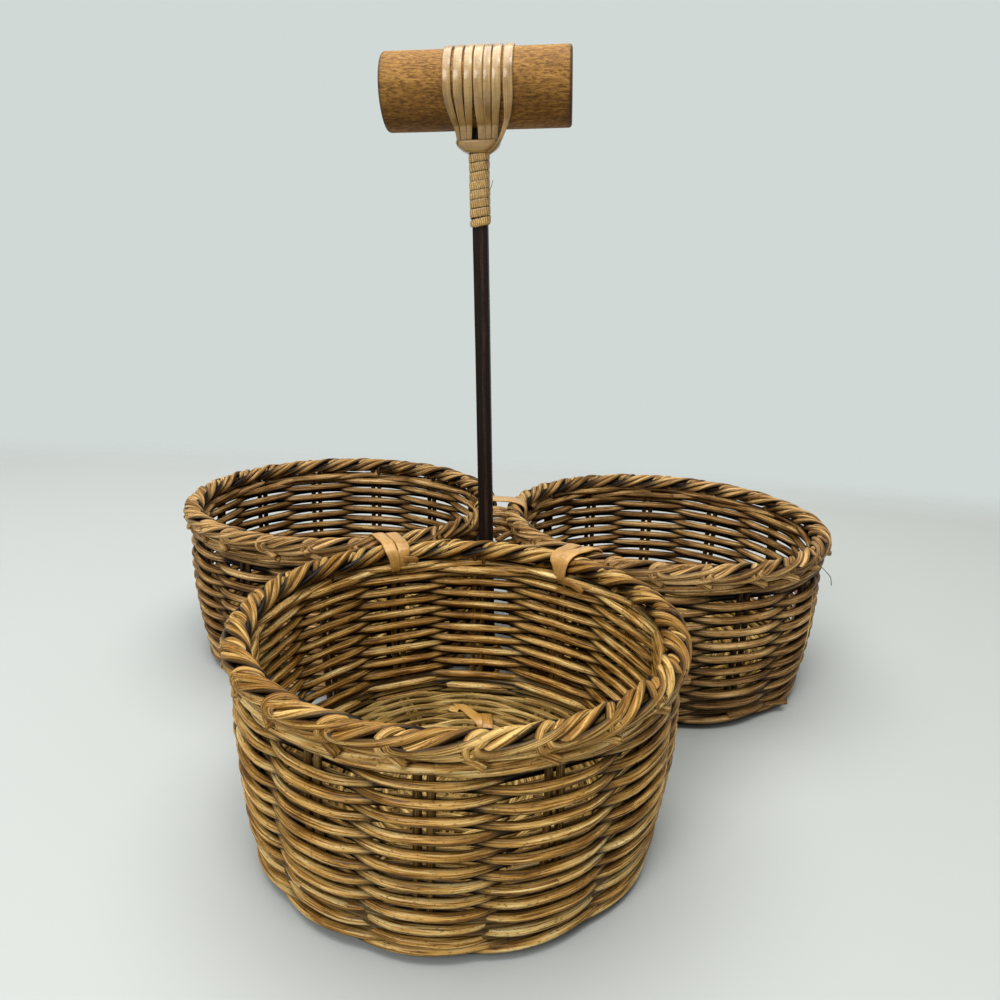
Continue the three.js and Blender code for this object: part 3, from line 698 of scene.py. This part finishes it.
def border_pair(strands, name, first):
    """One pair of border rods, side by side along their route."""
    along, turned, share = curve(BORDER_ROUTE, 4).T
    stretch = strands.draw(0.96, 1.05)
    tone = strands.draw(0.42, 0.8)
    theta = first + np.radians(along * stretch)
    turn = np.radians(turned + strands.draw(-5, 5))
    size = share * (1 + wobble(theta * 9, 0.05, (1, 2.3), int(strands.random.integers(1000))))
    out = np.stack([np.cos(turn) * np.cos(theta), np.cos(turn) * np.sin(theta), np.sin(turn)], -1)
    line = on_ring(name, theta, BORDER_MIDDLE + BORDER_REACH * size * np.cos(turn),
                   BORDER_HEIGHT + BORDER_RISE * size * np.sin(turn))
    beside = unit(np.cross(out, np.gradient(line, axis=0)))
    step = np.arange(len(line))
    # Painted shade: where the pair turns in under the border, at its start under the pair before, on its
    # inward side and between and beside the rods, and little on the cut tails
    hidden_shade = 0.6 * np.exp(-((turned - 222) / 38) ** 2)[:, None]
    hidden_shade += 0.35 * (1 - smooth(step / 12))[:, None]
    tail = smooth((along - BORDER_TAIL) / 3)[:, None]
    thick = BORDER_ROD * lerp(0.85, 1, smooth(step / 9))
    for side in (-1, 1):
        apart = side * BORDER_ROD * strands.draw(0.9, 1.0)
        path = line + beside * apart + out * strands.draw(-0.2, 0.2)
        end = len(path) - strands.random.integers(0, 2)
        section = round_section(strands.random)
        outward, sideways = section.T
        inward = held(-outward) ** 0.7
        between = held(-side * sideways) ** 2.5 * 0.8
        outer = held(side * sideways) ** 2 * 0.6
        dark = held((inward + between + outer + hidden_shade) * (1 - 0.85 * tail))
        strands.add(path[:end], (thick * strands.draw(0.94, 1.06))[:end], section=section,
                    ref=out[:end], dark=dark[:end], tone=tone + strands.draw(-0.06, 0.06),
                    ragged=0.5)


def border(name, material):
    """The plaited border: pairs of rods that hook out, run along, wind over and under, and end in
    cut tails, round a plain core."""
    strands = Strands(WEAVES[name]["seed"] + 500)
    for pair in range(BORDER_PAIRS):
        bearing = WEAVES[name]["border"] + pair * 360 / BORDER_PAIRS + strands.draw(-1.3, 1.3)
        border_pair(strands, name, math.radians(bearing))
    angle = np.linspace(0, FULL, 90, endpoint=False)
    # The plain core carries painted shade, as it lies inside the border
    strands.add(on_ring(name, angle, BORDER_MIDDLE, BORDER_HEIGHT), BORDER_CORE, closed=True, dark=0.75)
    strands.make(f"{name}_border_plait", material, f"{name}_border")


for basket in BASKETS:
    wall_reed = reed_front if basket == "front" else reed_back
    wall_weave(basket, wall_reed)
    stakes(basket, wall_reed)
    waling(basket, wall_reed)
    foot(basket, wall_reed)
    floor_weave(basket, reed_floor)
    border(basket, reed_border if basket == "front" else wall_reed)


# Ties

def tie_frame(origin, ahead):
    """A frame at a place on the ground, with X ahead and Z up."""
    x, y = ahead
    return np.array([(x, -y, 0, origin[0]), (y, x, 0, origin[1]), (0, 0, 1, 0), (0, 0, 0, 1)])


def between_baskets(one, other):
    """The frame where two rims meet, with X from one basket's middle to the other's."""
    return tie_frame((BASKETS[one] + BASKETS[other]) / 2, unit(BASKETS[other] - BASKETS[one]))


# For each tie its baskets, the gap between their rims, and its turns of cane. A turn is where it runs
# along the rim at the top on the first basket's side and on the other's, the same at the bottom, and
# how far it stands off the turn under it.
RIM_TIES = {
    "tie_front_left": ("front", "left", 3.3, ((-2.6, -2.0, -1.6, -1.0, 0.0), (3.4, 4.4, 1.4, 1.4, 0.5))),
    "tie_front_right": ("front", "right", 0.6, ((6.4, 6.0, 3.6, 4.0, 0.0), (1.6, -3.0, 2.6, 0.6, 0.55))),
    "tie_back_pair": ("right", "left", 6.4, ((-4.6, -4.2, -2.4, -2.2, 0.0), (0.2, 0.0, 1.6, 1.4, 0.3))),
}
TIE_CLEAR = 1.1
TIE_ABOVE = 0.8
TIE_BELOW = 2.8
TIE_HALF_THICK = 0.42

# Cut ends that show beside the rim ties: where each starts and stops in its tie's own frame
TIE_ENDS = {
    "tie_front_left": (((-12.4, -2.0, 74.4), (-13.0, -8.0, 73.4)),),
    "tie_front_right": (((-12.2, 0.5, 70.6), (-13.4, -10.0, 68.6)),),
    "tie_back_pair": (),
}

# Reed ends of the two back borders that fill the gap between them, in the back pair's frame
GAP_REEDS = (
    ((-10.0, 19.0, 73.0), (2.6, 22.5, 75.5)), ((-9.0, 24.0, 70.5), (0.6, 28.5, 73.0)),
    ((-8.5, 14.0, 76.0), (4.5, 16.5, 77.0)), ((-7.0, 9.5, 74.5), (6.0, 11.0, 75.5)),
    ((6.5, 13.0, 73.0), (-5.0, 19.5, 70.0)), ((-6.0, 6.0, 71.0), (7.0, 8.0, 70.0)),
    ((-12.0, 28.0, 72.5), (-2.8, 33.0, 69.5)), ((7.5, 20.0, 71.0), (-4.0, 26.0, 68.0)),
    ((-7.0, 2.0, 73.2), (7.0, 3.5, 74.2)), ((-7.0, -2.0, 72.0), (6.5, -4.0, 73.6)),
    ((-7.5, 5.0, 75.6), (7.0, 3.0, 76.2)), ((-13.0, 24.0, 67.0), (-3.0, 29.0, 66.0)),
    ((-14.0, 30.0, 68.5), (-4.5, 36.0, 67.0)),
)


def tie_turn(gap, near_top, far_top, near_low, far_low, lift):
    """The closed way of one turn of cane over both borders and back under them."""
    half = gap / 2 + BORDER_SIZE + TIE_CLEAR
    wall = half + lift
    top, bottom = BASKET_TOP + TIE_ABOVE + lift, WALING_BOTTOM + TIE_BELOW - lift
    middle = (top + bottom) / 2

    def down(side, own_top, own_low, other_top):
        return [
            (side * half * 0.55, lerp(other_top, own_top, 0.8), top - 0.1),
            (side * wall * 0.9, own_top, top - 1.8),
            (side * (wall + 0.4), lerp(own_top, own_low, 0.5), middle + 1.4),
            (side * (wall + 0.2), lerp(own_top, own_low, 0.9), bottom + 2.4),
            (side * half * 0.8, own_low, bottom + 0.2),
        ]

    route = [(0, lerp(near_top, far_top, 0.5), top)] + down(1, far_top, far_low, near_top)
    route += [(0, lerp(near_low, far_low, 0.5), bottom)] + down(-1, near_top, near_low, far_top)[::-1]
    return curve(route, 7, closed=True), top, bottom


def rim_tie(name, one, other, gap, turns):
    strands = Strands(len(name))
    for number, turn in enumerate(turns):
        path, top, bottom = tie_turn(gap, *turn)
        width = lerp(1.9, 2.75, smooth((path[:, 2] - bottom) / (top - bottom)))
        section = flat_section()
        # The cane carries painted shade where it passes low under the borders
        under = np.repeat(smooth((bottom + 1.6 - path[:, 2]) / 1.4)[:, None], len(section), 1)
        strands.add(path, width, TIE_HALF_THICK, section=section, ref=(0, 1, 0), closed=True,
                    ident=0.2 + 0.4 * number, dark=0.8 * under, tone=0.5 + 0.15 * number)
    for start, stop in TIE_ENDS[name]:
        path = np.linspace(start, stop, 8)
        path[:, 2] += 0.3 * np.sin(np.linspace(0, math.pi, 8))
        strands.add(path, 1.3, 0.35, section=flat_section(), ident=0.9, tone=0.3, dark=0.2, ragged=0.3)
    strands.make(name + "_cane", tie_cane, name, placed=between_baskets(one, other))


for tie, values in RIM_TIES.items():
    rim_tie(tie, *values)


def gap_reeds():
    strands = Strands(9)
    for start, stop in GAP_REEDS:
        path = np.linspace(start, stop, 14)
        bow = np.sin(np.linspace(0, math.pi, 14))
        path[:, 1] += strands.draw(-1.5, 1.5) * bow
        path[:, 2] += strands.draw(0.5, 1.5) * bow
        strands.add(path, 1.5, tone=strands.draw(0.3, 0.6), dark=0.25, ragged=0.6)
    strands.make("gap_reed_ends", reed_back, "left_border", placed=between_baskets("right", "left"))


gap_reeds()


HANDLE_BASE = (BASKETS["front"][0] + POST_OFFSET, HANDLE_Y)
STRAP_LEG = 4.45
STRAP_LOOP = 5.5
STRAP_HALF_WIDE = 2.3
STRAP_HALF_THICK = 0.4
ON_FLOOR = FLOOR_TOP + 0.55
UNDER_FLOOR = FLOOR_BOTTOM - 0.7


def strap_route(px, py, round_post):
    """The strap's places, each with how far it has turned on edge. It starts on the floor, goes down
    through it and out under the wall, round the post at px, py, and back."""
    outer = RIM_RADIUS - 5.8
    on_floor = [
        (54.6, 7.6, ON_FLOOR - 0.3), (51.0, 4.4, ON_FLOOR + 0.35), (47.8, 1.6, ON_FLOOR + 0.5),
        (44.4, -1.6, ON_FLOOR + 0.35), (41.2, -4.4, ON_FLOOR - 0.3), (40.2, -5.4, UNDER_FLOOR + 1.5),
    ]
    out_leg = [(x, -STRAP_LEG, UNDER_FLOOR) for x in (44.0, 60.0, outer)]
    back_leg = [(outer, STRAP_LEG, UNDER_FLOOR), (64.0, STRAP_LEG, UNDER_FLOOR),
                (57.5, STRAP_LEG + 1.5, UNDER_FLOOR + 0.6)]

    def blend(sign, shares):
        for t in shares:
            turned = smooth(t / 0.8)
            across = lerp(sign * STRAP_LEG, py + sign * STRAP_LOOP, turned)
            yield (lerp(outer, px, t), across, lerp(UNDER_FLOOR, round_post, turned)), float(turned)

    route = [(place, 0) for place in on_floor + out_leg]
    route += blend(-1, (0.25, 0.5, 0.75))
    for angle in np.radians(np.arange(-90, 91, 20)):
        place = (px + STRAP_LOOP * math.cos(angle), py + STRAP_LOOP * math.sin(angle), round_post)
        route.append((place, 1))
    route += blend(1, (0.75, 0.5, 0.25))
    return route + [(place, 0) for place in back_leg]


def floor_tie(name, basket, level):
    """A strap of cane: across the floor, down through it, out under the wall, and round the post's foot."""
    strands = Strands(len(name) + level)
    centre = BASKETS[basket]
    placed = tie_frame(centre, unit(np.array([BASKETS["front"][0], HANDLE_Y]) - centre))
    round_post = UNDER_FLOOR + 5.0 + 4.5 * level
    post_at = np.array([HANDLE_BASE[0] - math.tan(POST_LEAN) * round_post, HANDLE_BASE[1]])
    px, py = np.linalg.inv(placed[:2, :2]) @ (post_at - centre)
    route = strap_route(px, py, round_post)
    path = curve([place for place, _ in route], 4, closed=True)
    on_edge = curve([(turned, turned, turned) for _, turned in route], 4, closed=True)[:, :1]
    strands.add(path, STRAP_HALF_WIDE, STRAP_HALF_THICK, section=flat_section(),
                ref=unit(np.hstack([0 * on_edge, 1 - on_edge, on_edge])), closed=True,
                ident=0.2 + 0.2 * level, tone=0.62)
    short = curve([(49.2, -5.4, ON_FLOOR - 0.9), (47.0, -5.9, ON_FLOOR + 0.4), (43.0, -6.6, ON_FLOOR + 0.8),
                   (39.0, -7.2, ON_FLOOR + 0.2), (37.8, -7.3, ON_FLOOR - 0.9)], 5)
    strands.add(short, 2.2, STRAP_HALF_THICK, section=flat_section(), ref=(0, 1, 0), ident=0.7, ragged=0.4)
    for strip in range(3):
        y = 7.0 + 1.25 * strip
        frayed = curve([(54.0 - 0.8 * strip, y - 1.5, ON_FLOOR - 0.4), (51.0, y, ON_FLOOR + 0.5),
                        (47.6 + 0.5 * strip, y + 0.8, ON_FLOOR + 0.2)], 5)
        strands.add(frayed, 0.85, 0.28, section=flat_section(), ref=(0, 1, 0), tone=0.6, ragged=0.9)
    strands.make(name + "_cane", tie_cane, name, placed=placed)


for order, basket in enumerate(BASKETS):
    floor_tie(f"floor_tie_{basket}", basket, order)


# Loose fibres on the right basket: a dark hair at the rim, and a pale one down the wall

def fibres():
    strands = Strands(5)
    hair = curve([(149.0, 20.5, 72.0), (150.8, 18.5, 70.6), (152.4, 15.4, 68.8), (152.3, 12.6, 66.0)], 6)
    strands.add(hair, 0.16, tone=0.1, dark=0.7)
    pale = curve([(145.8, 15.6, 62.0), (146.9, 17.0, 50.0), (147.3, 18.6, 38.0), (146.6, 20.7, 25.0)], 6)
    strands.add(pale, 0.22, tone=1.0)
    strands.make("right_fibres", reed_border, "right_wall")


fibres()


# Handle, in its own leaning frame: X along the dowel, Z up the post

def handle_frame():
    cosine, sine = math.cos(POST_LEAN), math.sin(POST_LEAN)
    x, y = HANDLE_BASE
    return np.array([(cosine, 0, -sine, x), (0, 1, 0, y), (sine, 0, cosine, 0), (0, 0, 0, 1)])


HANDLE = handle_frame()


def post():
    strands = Strands(1)
    z = np.linspace(POST_BOTTOM, POST_TOP, 60)
    path = np.stack([wobble(z * 0.02, 0.1, (1, 2.2), 5), wobble(z * 0.02, 0.1, (1.3, 2.7), 6), z], 1)
    width = POST_SIZE / 2 * (1 + wobble(z * 0.05, 0.012, (1, 2.7, 5), 8))
    strands.add(path, width, section=flat_section(24, 0.22), ref=(1, 0, 0))
    strands.make("post_wood", post_wood, "post", placed=HANDLE)


def dowel_profile(half):
    """The grip's outline from its left face to its right one: places along it, each with a radius."""
    quarter = np.radians([0, 20, 45, 70, 90])
    rim = [(half - DOWEL_EDGE * (1 - math.cos(a)), DOWEL_RADIUS - DOWEL_EDGE * (1 - math.sin(a)))
           for a in quarter]
    face = [(half, DOWEL_RADIUS * share) for share in (0.01, 0.3, 0.6, 0.85)]
    right_end = rim[::-1] + face[::-1]
    left_end = [(-x, radius) for x, radius in right_end[::-1]]
    body = [(x, DOWEL_RADIUS) for x in np.linspace(-half + DOWEL_EDGE, half - DOWEL_EDGE, 42)[1:-1]]
    return np.array(left_end + body + right_end)


def dowel():
    """A turned grip with rounded, worn ends."""
    strands = Strands(2)
    half, sides = DOWEL_LENGTH / 2, 72
    profile = dowel_profile(half)
    angle = np.arange(sides) * FULL / sides
    x, radius = profile[:, :1], profile[:, 1:]
    wave = 1 + 0.004 * np.sin(3 * angle + x * 0.05) + 0.003 * np.sin(5 * angle - x * 0.11)
    y, z = radius * wave * np.cos(angle), DOWEL_HEIGHT + radius * wave * np.sin(angle)
    rings = np.stack([x + 0 * angle, y, z], -1)
    kind = np.zeros_like(rings)
    # Painted shade on the grip's lower side
    kind[:, :, 1] = held(0.45 - 0.9 * np.sin(angle))
    at_end = held((np.abs(x) - (half - 1.5)) / 1.2)
    kind[:, :, 2] = at_end * np.where(radius > DOWEL_RADIUS * 0.86, 0.9, 0.45)
    strands.grid(rings, np.zeros_like(rings), kind)
    strands.make("dowel_grip", dowel_wood, "handle_dowel", placed=HANDLE)


# Each strip of the lashing: its place and width over the dowel, and the same where it reaches the collar
LASHING = (
    (-10.5, 3.3, -7.5, 1.8), (-6.15, 3.6, -5.4, 2.5), (-2.2, 3.4, -3.2, 2.1), (1.7, 3.6, 1.9, 3.2),
    (5.2, 3.1, 4.6, 2.3), (8.75, 3.55, 6.9, 2.2), (13.2, 3.8, 7.2, 1.6),
)
LASHING_HALF_THICK = 0.46
LASHING_LEAN = math.radians(64)
COLLAR_TOP = 245.2
# The last strip's way round the collar: how far right it lies at each height, and its places in
# front as y and z
LAST_STRIP_Z = (240.5, 242.5, 245.0, 247.5, 250.0, 252.0, 255.0, 259.0, 264.8)
LAST_STRIP_X = (4.4, 7.3, 9.3, 10.5, 11.6, 12.3, 12.9, 13.2, 13.2)
LAST_STRIP_FRONT = [
    (-10.6, 252.8), (-9.4, 250.2), (-8.4, 247.4), (-7.6, 244.8), (-6.4, 242.4), (-4.8, 240.6),
]


def on_dowel(angle):
    """A place in the cane over the dowel, as y and z."""
    over = DOWEL_RADIUS + LASHING_HALF_THICK + 0.15
    return over * math.cos(angle), DOWEL_HEIGHT + over * math.sin(angle)


def lashing_side():
    """Places behind the post, from beside the dowel's middle down to the collar."""
    side = [on_dowel(-angle) for angle in np.arange(0, LASHING_LEAN, LASHING_LEAN / 8)]
    y, z = on_dowel(-LASHING_LEAN)
    for t in (0.0, 0.25, 0.5, 0.75, 1.0):
        side.append((lerp(y, POST_SIZE / 2 + 1.3, t), lerp(z, COLLAR_TOP - 1.2, t)))
    return side


def lashing_strip(strands, number, top_x, top_width, low_x, low_width):
    """One strip up behind, over the dowel and down in front. The last one goes past the collar."""
    last = number == len(LASHING) - 1
    over_top = [on_dowel(angle) for angle in np.radians(np.arange(9, 172, 9))]
    side = lashing_side()
    front = [(-y, z) for y, z in side]
    if last:
        front = front[:5] + LAST_STRIP_FRONT
    points, widths = [], []
    for y, z in side[::-1] + over_top + front:
        down = smooth((DOWEL_HEIGHT - 3 - z) / (DOWEL_HEIGHT - 3 - COLLAR_TOP))
        x = lerp(top_x, low_x, down)
        if last and y < 0:
            x = np.interp(z, LAST_STRIP_Z, LAST_STRIP_X)
        points.append((x, y, z))
        widths.append(lerp(top_width, low_width, down) / 2)
    path = curve(points, 3)
    t = np.linspace(0, 9, len(path))
    path[:, 0] += wobble(t, 0.1, (0.6, 1.7), 40 + number)
    width = np.interp(t, np.linspace(0, 9, len(widths)), widths)
    width *= 1 + wobble(t, 0.03, (1, 2.3), 60 + number)
    # Painted shade where the strips go into the collar
    near_collar = held((COLLAR_TOP + 1.2 - path[:, 2]) / 1.5) * (0.3 if last else 0.9)
    strands.add(path, width, LASHING_HALF_THICK, section=flat_section(12, 0.42), ref=(1, 0, 0),
                ident=number / 7, dark=near_collar, tone=strands.draw(0.4, 0.62))


def lashing():
    strands = Strands(3)
    for number, strip in enumerate(LASHING):
        lashing_strip(strands, number, *strip)
    strands.make("lashing_cane", lashing_cane, "handle_lashing", placed=HANDLE)


# The collar's height, half width and half depth, down its outside and up its inside
COLLAR_OUTER = (
    (245.5, 8.9, 6.1), (244.8, 9.0, 6.2), (243.6, 8.4, 6.1), (242.4, 7.1, 5.8), (241.5, 5.6, 5.3),
    (240.9, 4.2, 4.6),
)
COLLAR_INNER = ((241.1, 3.4, 3.7), (242.6, 6.4, 5.0), (243.8, 7.8, 5.4), (245.3, 8.3, 5.5))
COLLAR_SHIFT = -0.3


def collar():
    """A band of cane round the gathered strips, drawn in below like a boat."""
    strands = Strands(4)
    sides = 72
    angle = np.arange(sides) * FULL / sides
    across, through = squared(np.cos(angle), 0.55), squared(np.sin(angle), 0.45)
    rings = np.array([np.stack([wide * across + COLLAR_SHIFT, deep * through, np.full(sides, z)], -1)
                      for z, wide, deep in COLLAR_OUTER + COLLAR_INNER])
    reed = np.zeros_like(rings)
    reed[:, :, 0] = angle * 7
    reed[:, :, 1] = np.arange(len(rings))[:, None] * 0.8
    kind = np.zeros_like(rings)
    kind[:, :, 0], kind[:, :, 2] = 0.8, 0.55
    # The collar's inside carries painted shade
    kind[len(COLLAR_OUTER):, :, 1] = 0.9
    strands.grid(rings, reed, kind, wrap=True)
    strands.make("collar_cane", lashing_cane, "lashing_collar", placed=HANDLE)


BINDING_TURNS = 7.9
BINDING_TOP = 243.3
BINDING_PITCH = 3.53
BINDING_HALF_THICK = 0.5


def binding():
    """Cane wound round the post below the collar, each turn a little swollen, with a slanting cut end
    and a thin loose thread."""
    strands = Strands(6)
    t = np.linspace(0, BINDING_TURNS, int(BINDING_TURNS * 40))
    angle = math.pi * 0.75 - FULL * t
    half = POST_SIZE / 2 + 0.45 + wobble(t, 0.16, (0.8, 2.1), 73)
    flat = half / np.maximum(np.abs(np.cos(angle)), np.abs(np.sin(angle)))
    radius = np.minimum(flat, half * math.sqrt(2) * 0.88)
    z = BINDING_TOP - BINDING_PITCH / 2 - BINDING_PITCH * t + wobble(t, 0.14, (1.3, 3.1), 71)
    path = np.stack([radius * np.cos(angle), radius * np.sin(angle), z], 1)
    width = BINDING_PITCH * 0.51 * (1 + wobble(t, 0.05, (1, 2.7), 72))
    width *= np.clip((BINDING_TURNS - t) / 0.2, 0.3, 1)
    path[:, 2] -= 0.5 * smooth((t - BINDING_TURNS + 0.6) / 0.5)
    section = flat_section(14, 0.62)
    # Painted shade at the edges of each turn, where it meets the next
    dark = np.abs(section[:, 0]) ** 6 * 0.75 + 0 * t[:, None]
    strands.add(path, width, BINDING_HALF_THICK, section=section, ident=0.33, dark=dark)
    thread = [(3.6, -2.6, 226.0), (4.4, -2.7, 226.8), (5.2, -2.8, 228.4), (5.7, -2.9, 230.4)]
    strands.add(thread, [0.5, 0.42, 0.3, 0.1], 0.14, ref=(0, 1, 0), tone=0.3)
    strands.make("binding_cane", binding_cane, "post_binding", placed=HANDLE)


post()
dowel()
lashing()
collar()
binding()


# Stage, in metres

# The floor shows inside an oval round this place, and its edge fades over this share of the oval
FLOOR_MIDDLE_Y = -0.35
FLOOR_HALF_WIDE = 1.6
FLOOR_HALF_DEEP = 0.8
FLOOR_FADE = 0.13


def floor_material():
    """A pale board with painted shade that darkens it a little to the right, and that fades into the
    backdrop at its edge.
    """
    nodes = Nodes(bpy.data.materials.new("floor_board"))
    point = nodes.new("TexCoord").outputs["Object"]
    x, y, _ = nodes.split(point)
    # Painted shade: the board darkens towards the right
    across = nodes.math("ADD", nodes.math("MULTIPLY", x, 1.1), 0.5, True)
    cloud = nodes.noise(point, (2.2, 2.2, 2.2), 2.0, 0.5)
    level = nodes.math("ADD", across, nodes.math("MULTIPLY", cloud, 0.3), True)
    colour = nodes.ramp(level, [(0.2, (0.5, 0.533, 0.533, 1)), (1.0, (0.465, 0.493, 0.484, 1))])
    wide = nodes.math("DIVIDE", x, FLOOR_HALF_WIDE)
    deep = nodes.total((y, 1.0), (x, 0.05), (1.0, -FLOOR_MIDDLE_Y))
    deep = nodes.math("DIVIDE", deep, FLOOR_HALF_DEEP)
    squares = nodes.math("ADD", nodes.math("MULTIPLY", wide, wide), nodes.math("MULTIPLY", deep, deep))
    past_edge = nodes.math("SUBTRACT", nodes.math("SQRT", squares), 1 - FLOOR_FADE / 2)
    fade = nodes.math("DIVIDE", past_edge, FLOOR_FADE, True)
    board = nodes.principled(colour, 0.55)
    return nodes.surface(nodes.mix_shaders(fade, board, nodes.new("BsdfTransparent")))


def floor():
    mesh = bpy.data.meshes.new("floor")
    half = 2.0
    corners = [(-half, -half, 0), (half, -half, 0), (half, half, 0), (-half, half, 0)]
    mesh.from_pydata(corners, [], [[0, 1, 2, 3]])
    mesh.materials.append(floor_material())
    new_object("floor", mesh)


def backdrop():
    """A pale backdrop for what is seen or mirrored, and a soft even light for everything else."""
    world = bpy.data.worlds.new("backdrop")
    bpy.context.scene.world = world
    nodes = Nodes(world, "OutputWorld")
    seen = nodes.new("Background", {"Color": srgb(209, 217, 215)})
    fill = nodes.new("Background", {"Color": (1.0, 0.985, 0.95, 1.0), "Strength": 0.2})
    rays = nodes.new("LightPath").outputs
    share = nodes.math("MAXIMUM", rays["Is Camera Ray"], rays["Is Glossy Ray"])
    share = nodes.math("MAXIMUM", share, rays["Is Transmission Ray"])
    nodes.surface(nodes.mix_shaders(share, fill, seen))


LAMP_AIM = Vector((0, 0, 0.06))


def lamp(name, place, size, power, colour):
    light = bpy.data.lights.new(name, "AREA")
    light.shape, light.size, light.energy, light.color = "DISK", size, power, colour
    holder = new_object(name, light)
    holder.location = place
    holder.rotation_mode = "QUATERNION"
    holder.rotation_quaternion = (Vector(place) - LAMP_AIM).to_track_quat("Z", "Y")


def camera():
    """The photograph's camera, fitted to the rims, walls and post."""
    yaw, pitch, roll = (math.radians(degrees) for degrees in (-4.976, 16.292, 1.758))
    forward = Vector((math.sin(yaw) * math.cos(pitch), math.cos(yaw) * math.cos(pitch), -math.sin(pitch)))
    level = Vector((math.cos(yaw), -math.sin(yaw), 0.0))
    above = level.cross(forward)
    right = level * math.cos(roll) + above * math.sin(roll)
    up = above * math.cos(roll) - level * math.sin(roll)
    data = bpy.data.cameras.new("camera")
    data.sensor_width = 36.0
    data.lens = 28.65
    data.clip_start = 0.01
    holder = new_object("camera", data)
    placed = Matrix((right, up, -forward)).transposed().to_4x4()
    placed.translation = Vector((34.092, -326.577, 196.4)) * MM
    holder.matrix_world = placed
    bpy.context.scene.camera = holder


floor()
backdrop()
lamp("overhead", (-0.08, -0.05, 1.3), 1.6, 22.0, (1.0, 0.98, 0.94))
lamp("ceiling_spot", (0.12, -0.42, 1.35), 0.3, 3.0, (1.0, 0.98, 0.95))
lamp("window", (-0.55, -1.22, 1.0), 0.7, 10.5, (1.0, 0.99, 0.97))
camera()
bpy.context.scene.view_settings.view_transform = "Standard"
